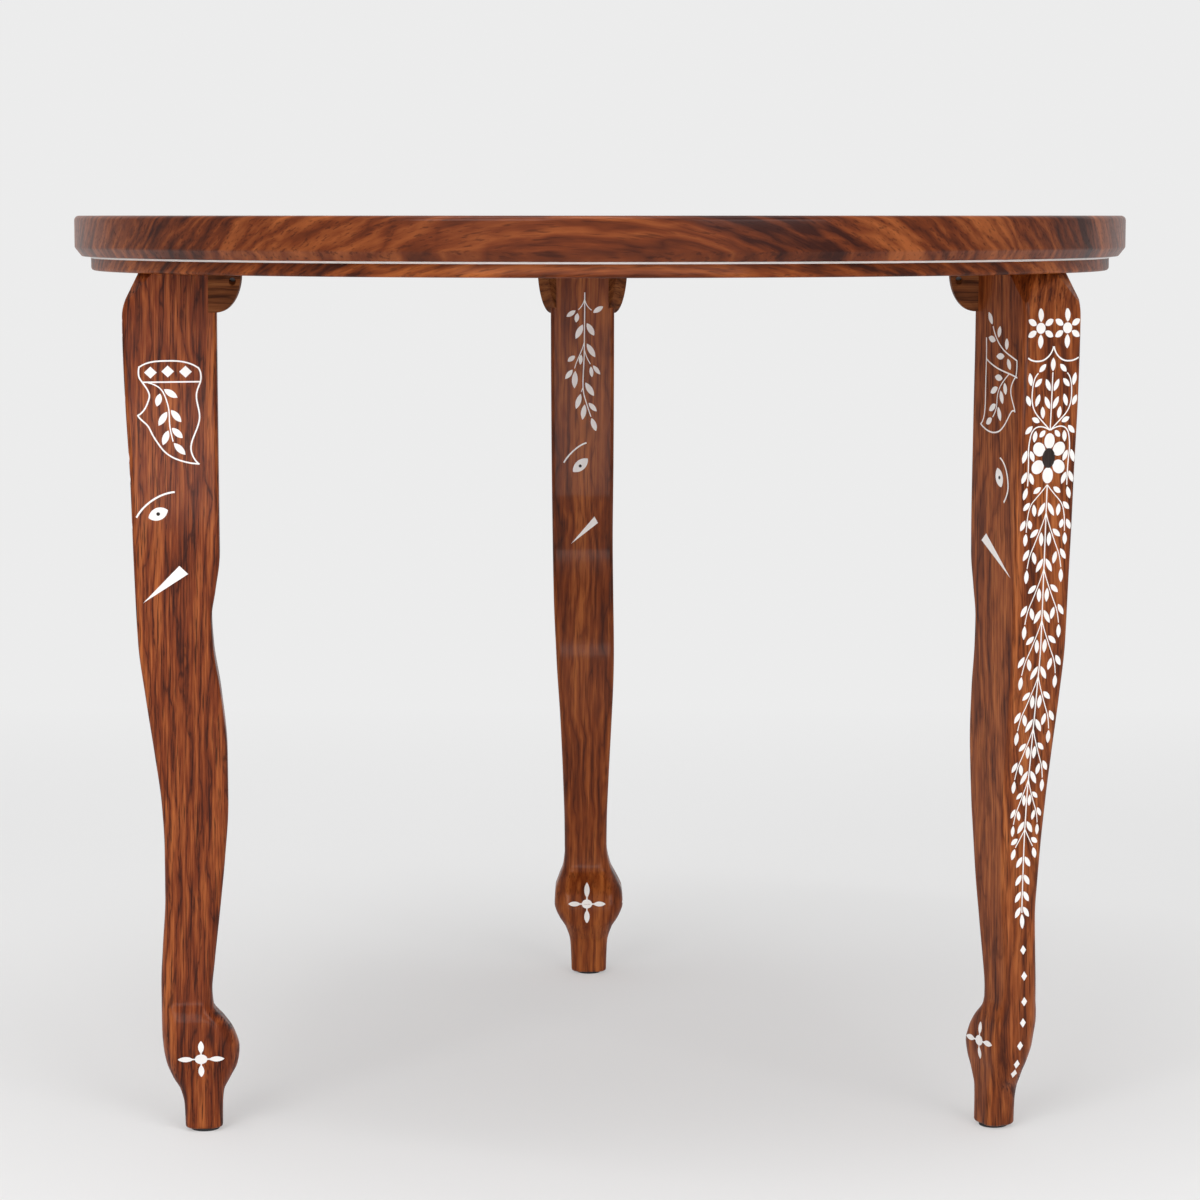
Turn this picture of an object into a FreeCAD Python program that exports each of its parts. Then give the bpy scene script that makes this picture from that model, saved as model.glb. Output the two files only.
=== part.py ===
# Round chess table on three elephant-trunk legs, with white stringing and leaf inlay.
# Millimetres. Origin on the floor under the middle of the top, +Z up, players' side along -Y.
import FreeCAD, Part
import math
import os

# ---- driving dimensions: top -------------------------------------------------
TABLE_HEIGHT = 553.0
TOP_THICKNESS = 25.0
TOP_EDGE_ROUND = 3.0
TOP_BEVEL_RISE = 5.5
TOP_BEVEL_RUN = 4.3
SUB_SETBACK = 10.0
SUB_THICKNESS = 8.7
SUB_EDGE_ROUND = 2.0
EDGE_STRING_WIDTH = 3.0
EDGE_STRING_HEIGHT = 1.2

SQUARE = 47.5
SQUARES_A_SIDE = 8
BOARD_DEPTH = 4.0
BOARD_STRING = 1.6
BOARD_FRAME = 12.0
CORNER_TO_EDGE = 39.8
RIM_STRING_SETBACK = 16.0
RIM_STRING_WIDTH = 1.6
INLAY_DEPTH = 1.2

SPRAY_START = 24.0
SPRAY_REACH = 150.0
SPRAY_SAG = 34.0
SPRAY_WAVE = 7.0
SPRAY_STEPS = 8
SPRAY_STEM = 1.4
SPRAY_LEAF_LENGTH = 14.0
SPRAY_LEAF_WIDTH = 6.0
SPRAY_LEAF_OUT = 8.6
SPRAY_LEAF_TURN = 50.0
TOP_PETAL_AT = 13.5
TOP_PETAL_LONG = 8.0
TOP_PETAL_SHORT = 6.0
TOP_BLOSSOM_CENTRE = 6.6

# ---- driving dimensions: legs ------------------------------------------------
FOOT_SETBACK = 42.0
GLIDE_HEIGHT = 1.5
GLIDE_DIAMETER = 17.5
GLIDE_EDGE_ROUND = 0.5
GLIDE_PIN_DIAMETER = 2.6
GLIDE_PIN_LENGTH = 12.0
BOLT_DIAMETER = 8.0
BOLT_IN_LEG = 40.0
BOLT_PAST_INSERT = 1.3
BOLT_SETBACK = 12.0
INSERT_WALL = 2.0
INSERT_LENGTH = 12.0
BRACKET_THICKNESS = 9.0
BRACKET_ROOT = 24.0
BRACKET_CURVE_STEPS = 8
POCKET_CLEARANCE = 0.2
POCKET_DROP = 4.9
POCKET_FROM_END = 5.0
POCKET_RISE_DEG = 35.0
SCREW_HEAD_DIAMETER = 3.6
SCREW_HEAD_LENGTH = 2.2
SCREW_SHANK_DIAMETER = 2.4
SCREW_HEAD_SETBACK = 3.0
SCREW_SHANK_LENGTH = 14.0

# Heights in the tables and drawings are for a leg this tall. In another one the trunk stretches.
DRAWN_LEG_TOP = 519.3
FOOT_KEEPS_BELOW = 90.0
HEAD_KEEPS_ABOVE = 300.0

# Leg section against height: forward edge, rear edge, half width and corner chamfer.
TRUNK_FRONT = [(0, 11.8), (16, 12.4), (25, 14.5), (33, 19.2), (42, 22.9), (52, 24.6), (64, 25.3),
               (90, 25.3), (115, 24.0), (145, 22.1), (175, 22.0), (202, 23.2), (232, 26.8), (269, 31.9),
               (300, 35.6), (347, 37.4), (400, 38.8), (444, 40.9), (485, 42.0), (520, 42.0)]
TRUNK_REAR = [(0, 10.6), (16, 10.9), (24, 11.6), (32, 15.6), (41, 20.1), (50, 21.3), (60, 18.4),
              (69, 12.4), (77, 6.0), (86, 5.3), (103, 6.9), (140, 11.1), (171, 14.3), (201, 16.4),
              (232, 16.3), (269, 13.0), (297, 8.9), (314, 8.0), (332, 10.6), (352, 13.2), (390, 13.2),
              (450, 13.2), (520, 13.4)]
SLIM_HALF_WIDTH = [(0, 9.8), (20, 10.1), (36, 10.6), (44, 12.4), (54, 14.2), (66, 14.2), (74, 13.2),
                   (82, 11.8), (104, 11.2), (130, 11.6), (150, 12.6), (187, 14.4), (210, 15.6),
                   (235, 16.6), (264, 17.8), (300, 18.9), (333, 19.3), (385, 20.1), (440, 20.2),
                   (480, 20.0), (520, 20.0)]
KNOB_HALF_WIDTH = [(0, 12.6), (16, 13.1), (24, 13.6), (36, 17.0), (44, 21.8), (53, 24.9), (62, 24.3),
                   (70, 21.2), (79, 17.2), (92, 15.4), (110, 15.5), (144, 16.6), (188, 18.6), (232, 20.8),
                   (276, 21.6), (320, 21.8), (385, 22.4), (450, 22.7), (520, 22.8)]
CHAMFER = [(0, 3.6), (20, 4.2), (36, 6.0), (52, 7.0), (68, 6.0), (86, 4.2), (120, 3.0), (200, 2.2),
           (300, 1.8), (520, 1.8)]
# How far the trunk's middle stands to the forehead's own right of the foot's, against height.
NO_SHIFT = [(0, 0), (520, 0)]
RIGHT_SHIFT = [(0, 0), (30, 0.4), (55, 2.2), (80, 4.3), (130, 3.6), (205, 5.3), (300, 5.3), (475, 7.0),
               (520, 7.3)]
BACK_SHIFT = [(0, 0), (55, 0.1), (95, 2.3), (190, 1.9), (235, 2.5), (280, 3.7), (330, 4.3), (520, 4.3)]
SECTION_HEIGHTS = [-4, 4, 17, 24, 31, 38, 45, 52, 59, 66, 72, 78, 88, 104, 125, 150, 176, 202, 232, 262, 288,
                   304, 314, 326, 350, 400, 450, 485, 526]
FOREHEAD_DROP = 19.5
FOREHEAD_RUN = 9.6
FACET_DROP = 20.0
FACET_ON_SIDE = 18.0
FACET_ON_FRONT = 16.0
FACET_FRONT_RISE = 12.0

# Each leg: place round the top, distance outside the foot circle, way the forehead faces, shift, half widths.
# Brackets: start in the leg's own frame (forward, sideways), heading, length, drop, side of the pocket.
LEGS = {
    "left": dict(place=211.4, out=4.0, facing=186.0, shift=NO_SHIFT, half_width=SLIM_HALF_WIDTH,
                 brackets=[(-13.4, 16.0, 0.0, 14.8, 23.0, -1), (-10.0, -14.0, 60.0, 17.0, 23.0, 1)]),
    "right": dict(place=330.0, out=0.0, facing=297.0, shift=RIGHT_SHIFT, half_width=SLIM_HALF_WIDTH,
                  brackets=[(-13.4, -12.6, 180.0, 14.8, 23.0, 1), (-13.4, 11.0, 120.0, 15.5, 23.0, 1)]),
    "back": dict(place=91.7, out=0.0, facing=90.0, shift=BACK_SHIFT, half_width=KNOB_HALF_WIDTH,
                 brackets=[(-4.0, 22.8, 240.0, 19.5, 36.0, 1), (-4.0, -14.2, 300.0, 19.5, 36.0, -1)]),
}

# ---- worked out from the driving dimensions ----------------------------------
TOP_Z = TABLE_HEIGHT
TOP_UNDER_Z = TOP_Z - TOP_THICKNESS
LEG_TOP_Z = TOP_UNDER_Z - SUB_THICKNESS
BOARD_SIDE = SQUARE * SQUARES_A_SIDE
BED_SIDE = BOARD_SIDE + 4 * BOARD_STRING + 2 * BOARD_FRAME
BED_Z = TOP_Z - BOARD_DEPTH
INLAY_Z = TOP_Z - INLAY_DEPTH
TOP_RADIUS = BED_SIDE * math.sqrt(0.5) + CORNER_TO_EDGE
SUB_RADIUS = TOP_RADIUS - SUB_SETBACK
RIM_STRING_RADIUS = TOP_RADIUS - RIM_STRING_SETBACK
FOOT_CIRCLE = SUB_RADIUS - FOOT_SETBACK
BOLT_LENGTH = BOLT_IN_LEG + SUB_THICKNESS + INSERT_LENGTH + BOLT_PAST_INSERT
INSERT_DIAMETER = BOLT_DIAMETER + 2 * INSERT_WALL
POCKET_DIAMETER = SCREW_HEAD_DIAMETER + 2 * POCKET_CLEARANCE
REACH = 80.0

UP = FreeCAD.Vector(0, 0, 1)


def vec(x, y, z=0.0):
    return FreeCAD.Vector(x, y, z)


def save(shape, node):
    shape.exportStep("parts/%s.step" % node)


def lifted(z):
    """Height on this leg of a drawn one: foot and head keep their shape, the trunk stretches."""
    share = (z - FOOT_KEEPS_BELOW) / (HEAD_KEEPS_ABOVE - FOOT_KEEPS_BELOW)
    return z + (LEG_TOP_Z - DRAWN_LEG_TOP) * min(max(share, 0.0), 1.0)


def height_curve(table):
    """Returns a smooth function of height through the table's points, with no overshoot."""
    xs = [lifted(p[0]) for p in table]
    ys = [p[1] for p in table]
    slopes = [(ys[i + 1] - ys[i]) / (xs[i + 1] - xs[i]) for i in range(len(xs) - 1)]
    tangents = [slopes[0]]
    for before, after in zip(slopes, slopes[1:]):
        flat = before * after <= 0
        tangents.append(0.0 if flat else 2 * before * after / (before + after))
    tangents.append(slopes[-1])

    def value(x):
        x = min(max(x, xs[0]), xs[-1])
        i = max(k for k in range(len(xs) - 1) if xs[k] <= x)
        step = xs[i + 1] - xs[i]
        t = (x - xs[i]) / step
        rise = ys[i] * (1 + 2 * t) * (1 - t) ** 2 + ys[i + 1] * t * t * (3 - 2 * t)
        return rise + step * (tangents[i] * t * (1 - t) ** 2 - tangents[i + 1] * t * t * (1 - t))

    return value


# ---- flat drawings in (u, v), used for every inlay ----------------------------
def spline(points):
    curve = Part.BSplineCurve()
    curve.interpolate([vec(*p) for p in points])
    return curve.toShape()


def ribbon(points, width):
    """A strip of constant width along a smooth line through the points."""
    left = []
    right = []
    for i, (u, v) in enumerate(points):
        before = points[max(i - 1, 0)]
        after = points[min(i + 1, len(points) - 1)]
        along = math.hypot(after[0] - before[0], after[1] - before[1])
        du = (after[1] - before[1]) / along * width / 2
        dv = (before[0] - after[0]) / along * width / 2
        left.append((u - du, v - dv))
        right.append((u + du, v + dv))
    if len(points) == 2:
        return polygon([right[0], right[1], left[1], left[0]])
    edges = [spline(right), line(right[-1], left[-1]), spline(left), line(left[0], right[0])]
    return Part.Face(Part.Wire(Part.__sortEdges__(edges)))


def line(a, b):
    return Part.LineSegment(vec(*a), vec(*b)).toShape()


def polygon(points):
    return Part.Face(Part.makePolygon([vec(*p) for p in points + points[:1]]))


def leaf(u, v, heading, length, width):
    """A two-arc leaf about its middle; heading in degrees, 0 to the right and 90 up."""
    a = math.radians(heading)
    tip = (math.cos(a) * length / 2, math.sin(a) * length / 2)
    side = (-math.sin(a) * width / 2, math.cos(a) * width / 2)
    ends = [vec(u - tip[0], v - tip[1]), vec(u + tip[0], v + tip[1])]
    bulges = [vec(u - side[0], v - side[1]), vec(u + side[0], v + side[1])]
    arcs = [Part.Arc(ends[0], bulge, ends[1]).toShape() for bulge in bulges]
    return Part.Face(Part.Wire(arcs))


def leaf_between(start, end, width):
    """A two-arc leaf from its base to its tip."""
    middle = ((start[0] + end[0]) / 2, (start[1] + end[1]) / 2)
    way = (end[0] - start[0], end[1] - start[1])
    return leaf(*middle, math.degrees(math.atan2(way[1], way[0])), math.hypot(*way), width)


def disc(u, v, radius):
    return Part.Face(Part.Wire(Part.makeCircle(radius, vec(u, v))))


def diamond(u, v, half_u, half_v):
    return polygon([(u - half_u, v), (u, v + half_v), (u + half_u, v), (u, v - half_v)])


def oval(u, v, heading, long_radius, short_radius):
    ellipse = Part.Ellipse(vec(0, 0), long_radius, short_radius).toShape()
    ellipse.rotate(vec(0, 0), UP, heading)
    ellipse.translate(vec(u, v))
    return Part.Face(Part.Wire(ellipse))


def mirrored(faces):
    return [face.mirror(vec(0, 0), vec(1, 0)) for face in faces]


def joined(faces):
    """Fuses overlapping flat pieces into the separate pieces that they make."""
    fused = faces[0].multiFuse(faces[1:])
    return Part.makeShell(fused.Faces).removeSplitter().Faces


# ---- inlay drawings -------------------------------------------------------------
OUTLINE = 0.9
STEM = 0.75
TWIG = 0.6
LEAF_WIDTH = 3.1
EAR_LEAF_WIDTH = 3.8
BROW = 1.1
EYE_WIDTH = 7.4
PUPIL_RADIUS = 1.1
FLOWER_PAIR_U = 9.4
FLOWER_PAIR_Z = 487.5
FLOWER_CENTRE = 3.2
PETAL_GAP = 0.35
PETAL_UPRIGHT_TIP = 12.0
PETAL_SLANTED_TIP = 10.0
PETAL_WIDTH = 3.7
BLOSSOM_Z = 411.1
BLOSSOM_CENTRE_TALL = 5.9
BLOSSOM_CENTRE_WIDE = 4.5
VINE_KNOTS = [384.8, 351.5, 320.8, 286.9, 254.6, 222.5]
UNIT_REACH = 15.1
UNIT_WIDEST_DROP = 33.0
VINE_MARGIN = 1.5
NARROW_UNIT_SHORTENING = 0.12
SHORT_UNIT_Z = 191.4
PAIR_KNOTS = [169.8, 158.8, 148.6, 139.2]
VINE_END = (135.0, 125.9)
# Foot flower: radii of its oval middle, then each petal's heading, base, tip and width.
FOOT_FLOWER_MIDDLE = (3.75, 3.1)
SIDE_FLOWER_PETALS = [(0, 4.6, 14.0, 3.4), (90, 3.8, 11.6, 3.5)]
INNER_FLOWER_PETALS = [(0, 4.6, 13.6, 3.4), (90, 4.2, 14.4, 3.9)]
FOOT_FLOWER_NECK_START = 2.0
FOOT_FLOWER_NECK_LAP = 0.9
TRUNK_DIAMOND_HALF = (2.1, 2.9)
TRUNK_DIAMONDS = [113.1, 97.2, 81.5, 68.5, 54.3, 42.7, 36.4]


class Drawing:
    """Flat inlay for one face of a leg, in (u, z); sideways(z) is how far the face stands over."""

    def __init__(self, sideways):
        self.sideways = sideways
        self.stems = []
        self.pieces = []
        self.dots = []

    def at(self, u, z):
        z = lifted(z)
        return (u + self.sideways(z), z)

    def stem(self, points, width=STEM):
        self.stems.append(ribbon([self.at(*p) for p in points], width))

    def leaf(self, u1, z1, u2, z2, width=LEAF_WIDTH):
        self.pieces.append(leaf_between(self.at(u1, z1), self.at(u2, z2), width))

    def twins(self, stems, leaves, width=STEM, knot=0.0, spread=1.0, drop=1.0):
        """Adds stems and leaves on the right and mirrored on the left, scaled about a knot."""
        for side in (spread, -spread):
            for points in stems:
                self.stem([(side * u, knot + drop * z) for u, z in points], width)
            for u1, z1, u2, z2 in leaves:
                self.leaf(side * u1, knot + drop * z1, side * u2, knot + drop * z2, LEAF_WIDTH * drop)

    def oval(self, u, z, heading, long_radius, short_radius):
        self.pieces.append(oval(*self.at(u, z), heading, long_radius, short_radius))

    def diamond(self, u, z, half_u, half_z):
        self.pieces.append(diamond(*self.at(u, z), half_u, half_z))

    def tusk(self, *corners):
        self.pieces.append(polygon([self.at(*corner) for corner in corners]))

    def eye(self, u1, z1, u2, z2, pupil):
        self.leaf(u1, z1, u2, z2, EYE_WIDTH)
        self.dots.append(disc(*self.at(*pupil), PUPIL_RADIUS))

    def foot_flower(self, u, z, petals):
        """A four-petalled flower whose petals join its oval middle by narrow necks."""
        u, z = self.at(u, z)
        faces = [oval(u, z, 0, *FOOT_FLOWER_MIDDLE)]
        for heading, neck, tip, width in petals:
            for turn in (heading, heading + 180):
                a = math.radians(turn)
                radii = (FOOT_FLOWER_NECK_START, neck + FOOT_FLOWER_NECK_LAP, neck, tip)
                ends = [(u + r * math.cos(a), z + r * math.sin(a)) for r in radii]
                faces += [ribbon(ends[:2], OUTLINE), leaf_between(*ends[2:], width)]
        self.pieces += joined(faces)

    def bone(self):
        return joined(self.stems) + self.pieces


def forehead_flowers(drawing):
    for middle in (-FLOWER_PAIR_U, FLOWER_PAIR_U):
        drawing.oval(middle, FLOWER_PAIR_Z, 0, FLOWER_CENTRE, FLOWER_CENTRE)
        for heading in range(30, 390, 60):
            a = math.radians(heading)
            tip = PETAL_UPRIGHT_TIP if heading % 180 == 90 else PETAL_SLANTED_TIP
            (u1, z1), (u2, z2) = [(middle + r * math.cos(a), FLOWER_PAIR_Z + r * math.sin(a))
                                  for r in (FLOWER_CENTRE + PETAL_GAP, tip)]
            drawing.leaf(u1, z1, u2, z2, PETAL_WIDTH)
    drawing.twins([[(0.2, 476.8), (1.6, 473.2), (4.3, 470.3), (8.0, 468.5), (11.0, 468.2), (14.4, 468.6),
                    (17.8, 470.2)]], [], OUTLINE)


def rising_sprays(drawing):
    """One straight and two curving stems that rise from the top of the blossom."""
    drawing.stem([(0, 427.6), (0, 461.6)])
    drawing.leaf(0, 462.2, 0, 470.2, 3.3)
    drawing.twins([], [(1.3, 450.6, 4.6, 457.8), (1.1, 440.1, 4.8, 447.5)])
    drawing.twins([[(0.2, 427.6), (2.6, 429.9), (5.6, 432.7), (9.2, 436.0), (12.2, 440.0), (13.6, 444.0),
                    (13.9, 450.5), (13.2, 456.0), (11.8, 459.4), (10.2, 461.2)]],
                  [(9.6, 461.9, 5.0, 466.4), (14.8, 453.8, 16.2, 461.4), (12.2, 453.2, 7.5, 458.0),
                   (14.9, 442.0, 17.6, 448.2), (11.0, 441.6, 8.6, 448.9), (5.4, 434.4, 6.3, 441.6),
                   (7.8, 432.4, 13.2, 435.0)])


def drooping_sprays(drawing):
    drawing.twins([[(0.2, 427.6), (3.2, 429.0), (7.0, 429.8), (10.8, 428.8), (12.9, 426.2), (14.0, 422.0),
                    (14.5, 417.4), (14.2, 411.6), (13.9, 405.0), (13.8, 399.0), (13.9, 394.8)]],
                  [(12.6, 430.2, 17.4, 425.6), (10.0, 427.4, 10.8, 420.6), (3.4, 427.4, 7.2, 423.6),
                   (15.6, 416.0, 18.0, 408.4), (13.1, 415.6, 10.3, 409.2), (14.9, 403.2, 18.0, 396.4),
                   (12.8, 402.6, 10.0, 395.5), (14.2, 393.9, 16.4, 386.6)])


def forehead_blossom(drawing):
    drawing.oval(0, 421.2, 90, 4.6, 3.6)
    drawing.oval(0, 400.8, 90, 4.7, 3.7)
    for side in (1, -1):
        drawing.oval(side * 7.0, 416.4, side * 37, 4.5, 3.9)
        drawing.oval(side * 7.4, 405.9, side * -35, 4.5, 3.9)
    drawing.dots.append(oval(*drawing.at(0, BLOSSOM_Z), 90, BLOSSOM_CENTRE_TALL, BLOSSOM_CENTRE_WIDE))


def vine_collar(drawing):
    """The first pair of twigs, which leave the stem just under the blossom."""
    drawing.twins([[(0.2, 395.2), (3.2, 391.8), (7.4, 387.6), (10.8, 383.8), (12.4, 379.6), (13.2, 374.9),
                    (13.5, 369.8), (13.6, 367.4)]], [(4.4, 393.8, 9.6, 390.4), (11.8, 384.9, 16.2, 380.4),
                    (9.0, 383.9, 8.1, 376.6), (14.7, 374.6, 17.6, 368.4), (11.9, 374.6, 10.5, 369.2),
                    (13.8, 366.6, 14.2, 359.2)], TWIG)


def vine_unit(drawing, knot, spread):
    """A leaf pair on the main stem and the twigs that hang below it, drawn smaller where the leg narrows."""
    drop = min(1.0, spread + NARROW_UNIT_SHORTENING)
    drawing.twins([], [(1.0, 0.0, 5.6, -8.1)], knot=knot)
    drawing.twins([[(0.1, -6.4), (1.8, -11.5), (4.9, -19.0), (7.7, -25.3), (9.9, -30.0), (11.2, -34.5),
                    (12.0, -39.0)]],
                  [(5.1, -15.8, 10.6, -20.5), (2.9, -17.6, 2.6, -26.0), (11.1, -27.7, 15.1, -34.2),
                   (8.2, -29.2, 6.4, -36.6), (12.1, -39.8, 12.4, -48.0)],
                  TWIG, knot, spread, drop)


def short_unit(drawing):
    drawing.twins([[(0.1, -5.0), (3.2, -10.6), (6.2, -15.6)]],
                  [(1.0, 0.0, 5.2, -7.2), (4.9, -10.4, 9.4, -13.6), (6.6, -16.4, 8.4, -23.0)],
                  TWIG, SHORT_UNIT_Z)


def floral_front(shape):
    """The whole forehead and trunk pattern."""
    drawing = Drawing(shape.shift)
    forehead_flowers(drawing)
    rising_sprays(drawing)
    drooping_sprays(drawing)
    forehead_blossom(drawing)
    vine_collar(drawing)
    drawing.stem([(0, z) for z in (395.4, 370.0, 330.0, 290.0, 250.0, 210.0, 175.0, 135.6)], STEM)
    for knot in VINE_KNOTS:
        flat = shape.half_flat(lifted(knot - UNIT_WIDEST_DROP))
        vine_unit(drawing, knot, min(1.0, (flat - VINE_MARGIN) / UNIT_REACH))
    short_unit(drawing)
    for knot in PAIR_KNOTS:
        drawing.twins([], [(1.0, 0.0, 4.9, -6.4)], knot=knot)
    drawing.leaf(0, VINE_END[0], 0, VINE_END[1])
    for z in TRUNK_DIAMONDS:
        drawing.diamond(0, z, *TRUNK_DIAMOND_HALF)
    return drawing


def banded_ear_side():
    """Head seen from the side with its forehead to the left: ear with a diamond band, eye and tusk."""
    drawing = Drawing(lambda z: 0.0)
    drawing.stem([(-32.3, 464.5), (-27.1, 467.0), (-17.4, 468.1), (-9.0, 467.9), (-1.2, 465.9),
                 (2.2, 463.9)], OUTLINE)
    drawing.stem([(-32.3, 464.9), (-32.8, 461.5), (-32.3, 458.3), (-30.5, 455.4), (-28.0, 451.7),
                  (-26.6, 447.8), (-27.5, 443.9), (-29.8, 439.3), (-33.7, 435.9)], OUTLINE)
    drawing.stem([(-33.7, 436.3), (-31.5, 433.5), (-28.0, 430.2), (-25.2, 424.9), (-22.0, 419.6),
                  (-18.2, 414.7), (-13.0, 411.0), (-7.9, 409.0), (-2.7, 407.8), (2.1, 407.3)], OUTLINE)
    drawing.stem([(1.9, 464.4), (3.4, 461.4), (3.7, 458.7), (3.2, 455.4), (1.9, 452.2), (0.9, 448.3),
                  (1.1, 444.4), (2.2, 439.1), (2.6, 435.2), (1.6, 430.0), (-0.5, 424.7), (-2.2, 420.2),
                  (-2.7, 416.2), (-1.6, 411.8), (2.0, 407.1)], OUTLINE)
    drawing.stem([(-30.6, 455.6), (3.2, 455.8)], OUTLINE)
    drawing.stem([(-27.2, 455.3), (-22.8, 453.7), (-19.6, 451.2), (-17.4, 447.1), (-15.8, 441.9),
                  (-15.2, 437.9), (-15.1, 432.7), (-14.8, 428.8), (-13.8, 423.5), (-13.1, 420.6)])
    for ends in ((-18.0, 451.4, -10.2, 446.5), (-20.3, 448.9, -22.3, 441.4), (-14.1, 439.2, -8.2, 432.1),
                 (-16.4, 438.2, -21.5, 430.0), (-13.7, 428.6, -7.5, 422.7), (-15.8, 427.2, -19.1, 418.6),
                 (-12.7, 419.7, -6.0, 412.8)):
        drawing.leaf(*ends, EAR_LEAF_WIDTH)
    for u, z in ((-25.8, 461.3), (-15.7, 461.9), (-5.3, 461.7)):
        drawing.diamond(u, z, 3.7, 3.5)
    drawing.stem([(-35.3, 375.8), (-31.2, 381.4), (-25.4, 386.2), (-19.0, 389.4), (-12.6, 390.8)], BROW)
    drawing.eye(-28.2, 375.5, -16.8, 380.1, (-22.5, 377.8))
    drawing.tusk((-10.6, 346.8), (-5.4, 341.9), (-32.1, 324.9))
    drawing.foot_flower(-1.9, 46.0, SIDE_FLOWER_PETALS)
    return drawing


def vine_ear_side():
    """Head seen from the side with its forehead to the right: vine over a scalloped ear, eye and tusk."""
    drawing = Drawing(lambda z: 0.0)
    drawing.stem([(1.0, 481.0), (1.4, 470.0), (1.4, 450.0), (1.2, 438.0), (-0.6, 432.0),
                  (-3.2, 429.2)], OUTLINE)
    drawing.stem([(-3.2, 429.7), (3.0, 426.5), (11.1, 425.1), (17.6, 426.6), (22.7, 430.6), (27.1, 436.0),
                  (30.3, 438.9), (33.1, 438.5)], OUTLINE)
    drawing.stem([(32.9, 459.0), (29.5, 455.3), (28.0, 451.2), (29.0, 446.7), (31.2, 442.4),
                  (33.0, 438.2)], OUTLINE)
    drawing.stem([(7.8, 487.9), (12.0, 480.6), (19.5, 474.2), (26.2, 471.2), (33.6, 468.4)], OUTLINE)
    drawing.stem([(33.5, 468.6), (33.6, 463.0), (32.7, 458.4)], OUTLINE)
    drawing.stem([(1.2, 468.5), (6.7, 465.7), (13.4, 463.3), (21.4, 461.4), (29.3, 459.8),
                  (34.4, 458.4)], OUTLINE)
    drawing.stem([(26.0, 460.6), (20.3, 456.2), (15.9, 451.3), (13.9, 446.0), (13.6, 441.0), (11.6, 436.6),
                  (9.6, 434.2)])
    for ends in ((7.0, 489.0, 2.9, 496.2), (13.8, 481.4, 15.4, 488.2), (10.8, 479.5, 3.3, 481.1),
                 (22.5, 474.4, 22.6, 481.2), (20.4, 470.6, 12.0, 470.2), (23.8, 469.2, 27.0, 462.8),
                 (19.0, 457.4, 11.0, 458.1), (21.2, 455.0, 22.9, 448.0), (14.2, 452.0, 6.8, 448.5),
                 (17.2, 450.2, 19.9, 442.4), (12.6, 441.9, 5.7, 437.9), (15.0, 440.6, 18.1, 432.2),
                 (8.8, 433.4, 2.9, 429.9)):
        drawing.leaf(*ends, EAR_LEAF_WIDTH)
    drawing.stem([(18.5, 410.6), (24.3, 405.2), (26.9, 398.7), (27.4, 392.1), (25.6, 387.5),
                  (23.4, 384.4)], BROW)
    drawing.eye(15.8, 404.4, 20.4, 393.2, (18.2, 398.8))
    drawing.tusk((0.3, 360.1), (5.2, 364.6), (31.1, 340.1))
    drawing.foot_flower(1.5, 54.2, SIDE_FLOWER_PETALS)
    return drawing


def vine_back(shape):
    """Inner face of the back leg: hanging vine, brow, eye, tusk and foot flower."""
    drawing = Drawing(lambda z: -shape.shift(z))
    drawing.stem([(1.6, 498.3), (1.6, 490.2), (1.5, 476.8), (1.3, 463.4), (1.2, 453.6), (0.7, 442.9),
                  (0.3, 433.0), (0.9, 425.8), (2.7, 419.5), (4.7, 413.2), (6.0, 409.4)])
    for points in ([(1.6, 494.2), (-0.4, 488.9), (-3.0, 485.9)], [(1.6, 493.4), (4.0, 488.0), (6.6, 485.6)],
                   [(1.3, 463.2), (-1.3, 455.4), (-4.0, 449.1), (-5.7, 444.0)],
                   [(1.2, 458.2), (4.0, 450.0), (5.6, 447.2)], [(0.4, 430.6), (-0.9, 427.2)]):
        drawing.stem(points, TWIG)
    for ends in ((-5.0, 485.4, -11.4, 481.0, 3.4), (-3.5, 483.6, -4.6, 476.9, 3.2),
                 (7.6, 483.9, 14.8, 488.3, 3.6), (0.2, 475.4, -4.9, 465.2, 4.2),
                 (3.1, 476.4, 8.3, 467.5, 4.2), (3.1, 461.8, 9.1, 452.0, 4.0),
                 (-5.4, 453.0, -10.6, 449.0, 3.4), (-1.0, 454.0, -1.6, 446.6, 2.7),
                 (-7.1, 443.1, -12.4, 436.4, 3.4), (-5.2, 442.3, -5.9, 429.6, 4.2),
                 (7.5, 446.2, 12.6, 439.7, 3.0), (6.0, 445.4, 6.8, 437.7, 2.8),
                 (2.0, 433.9, 8.2, 424.2, 4.2), (-1.2, 425.8, -4.7, 414.9, 3.8),
                 (1.6, 418.2, -0.1, 407.1, 3.8), (4.4, 419.3, 10.1, 413.2, 3.4),
                 (6.5, 408.4, 9.7, 399.0, 3.8)):
        drawing.leaf(*ends)
    drawing.stem([(-13.5, 376.3), (-10.4, 380.8), (-5.9, 385.4), (-1.8, 388.5), (2.8, 390.6)], BROW)
    drawing.eye(-6.9, 369.6, 3.8, 379.2, (-1.7, 373.9))
    drawing.tusk((8.5, 337.2), (11.1, 332.5), (-8.5, 317.0))
    drawing.foot_flower(-1.2, 54.6, INNER_FLOWER_PETALS)
    return drawing


def blossom(u, v, petal_at, long_radius, short_radius):
    petals = []
    for i in range(6):
        a = math.radians(90 + 60 * i)
        petals.append(oval(u + petal_at * math.cos(a), v + petal_at * math.sin(a), math.degrees(a),
                           long_radius, short_radius))
    return petals


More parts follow.
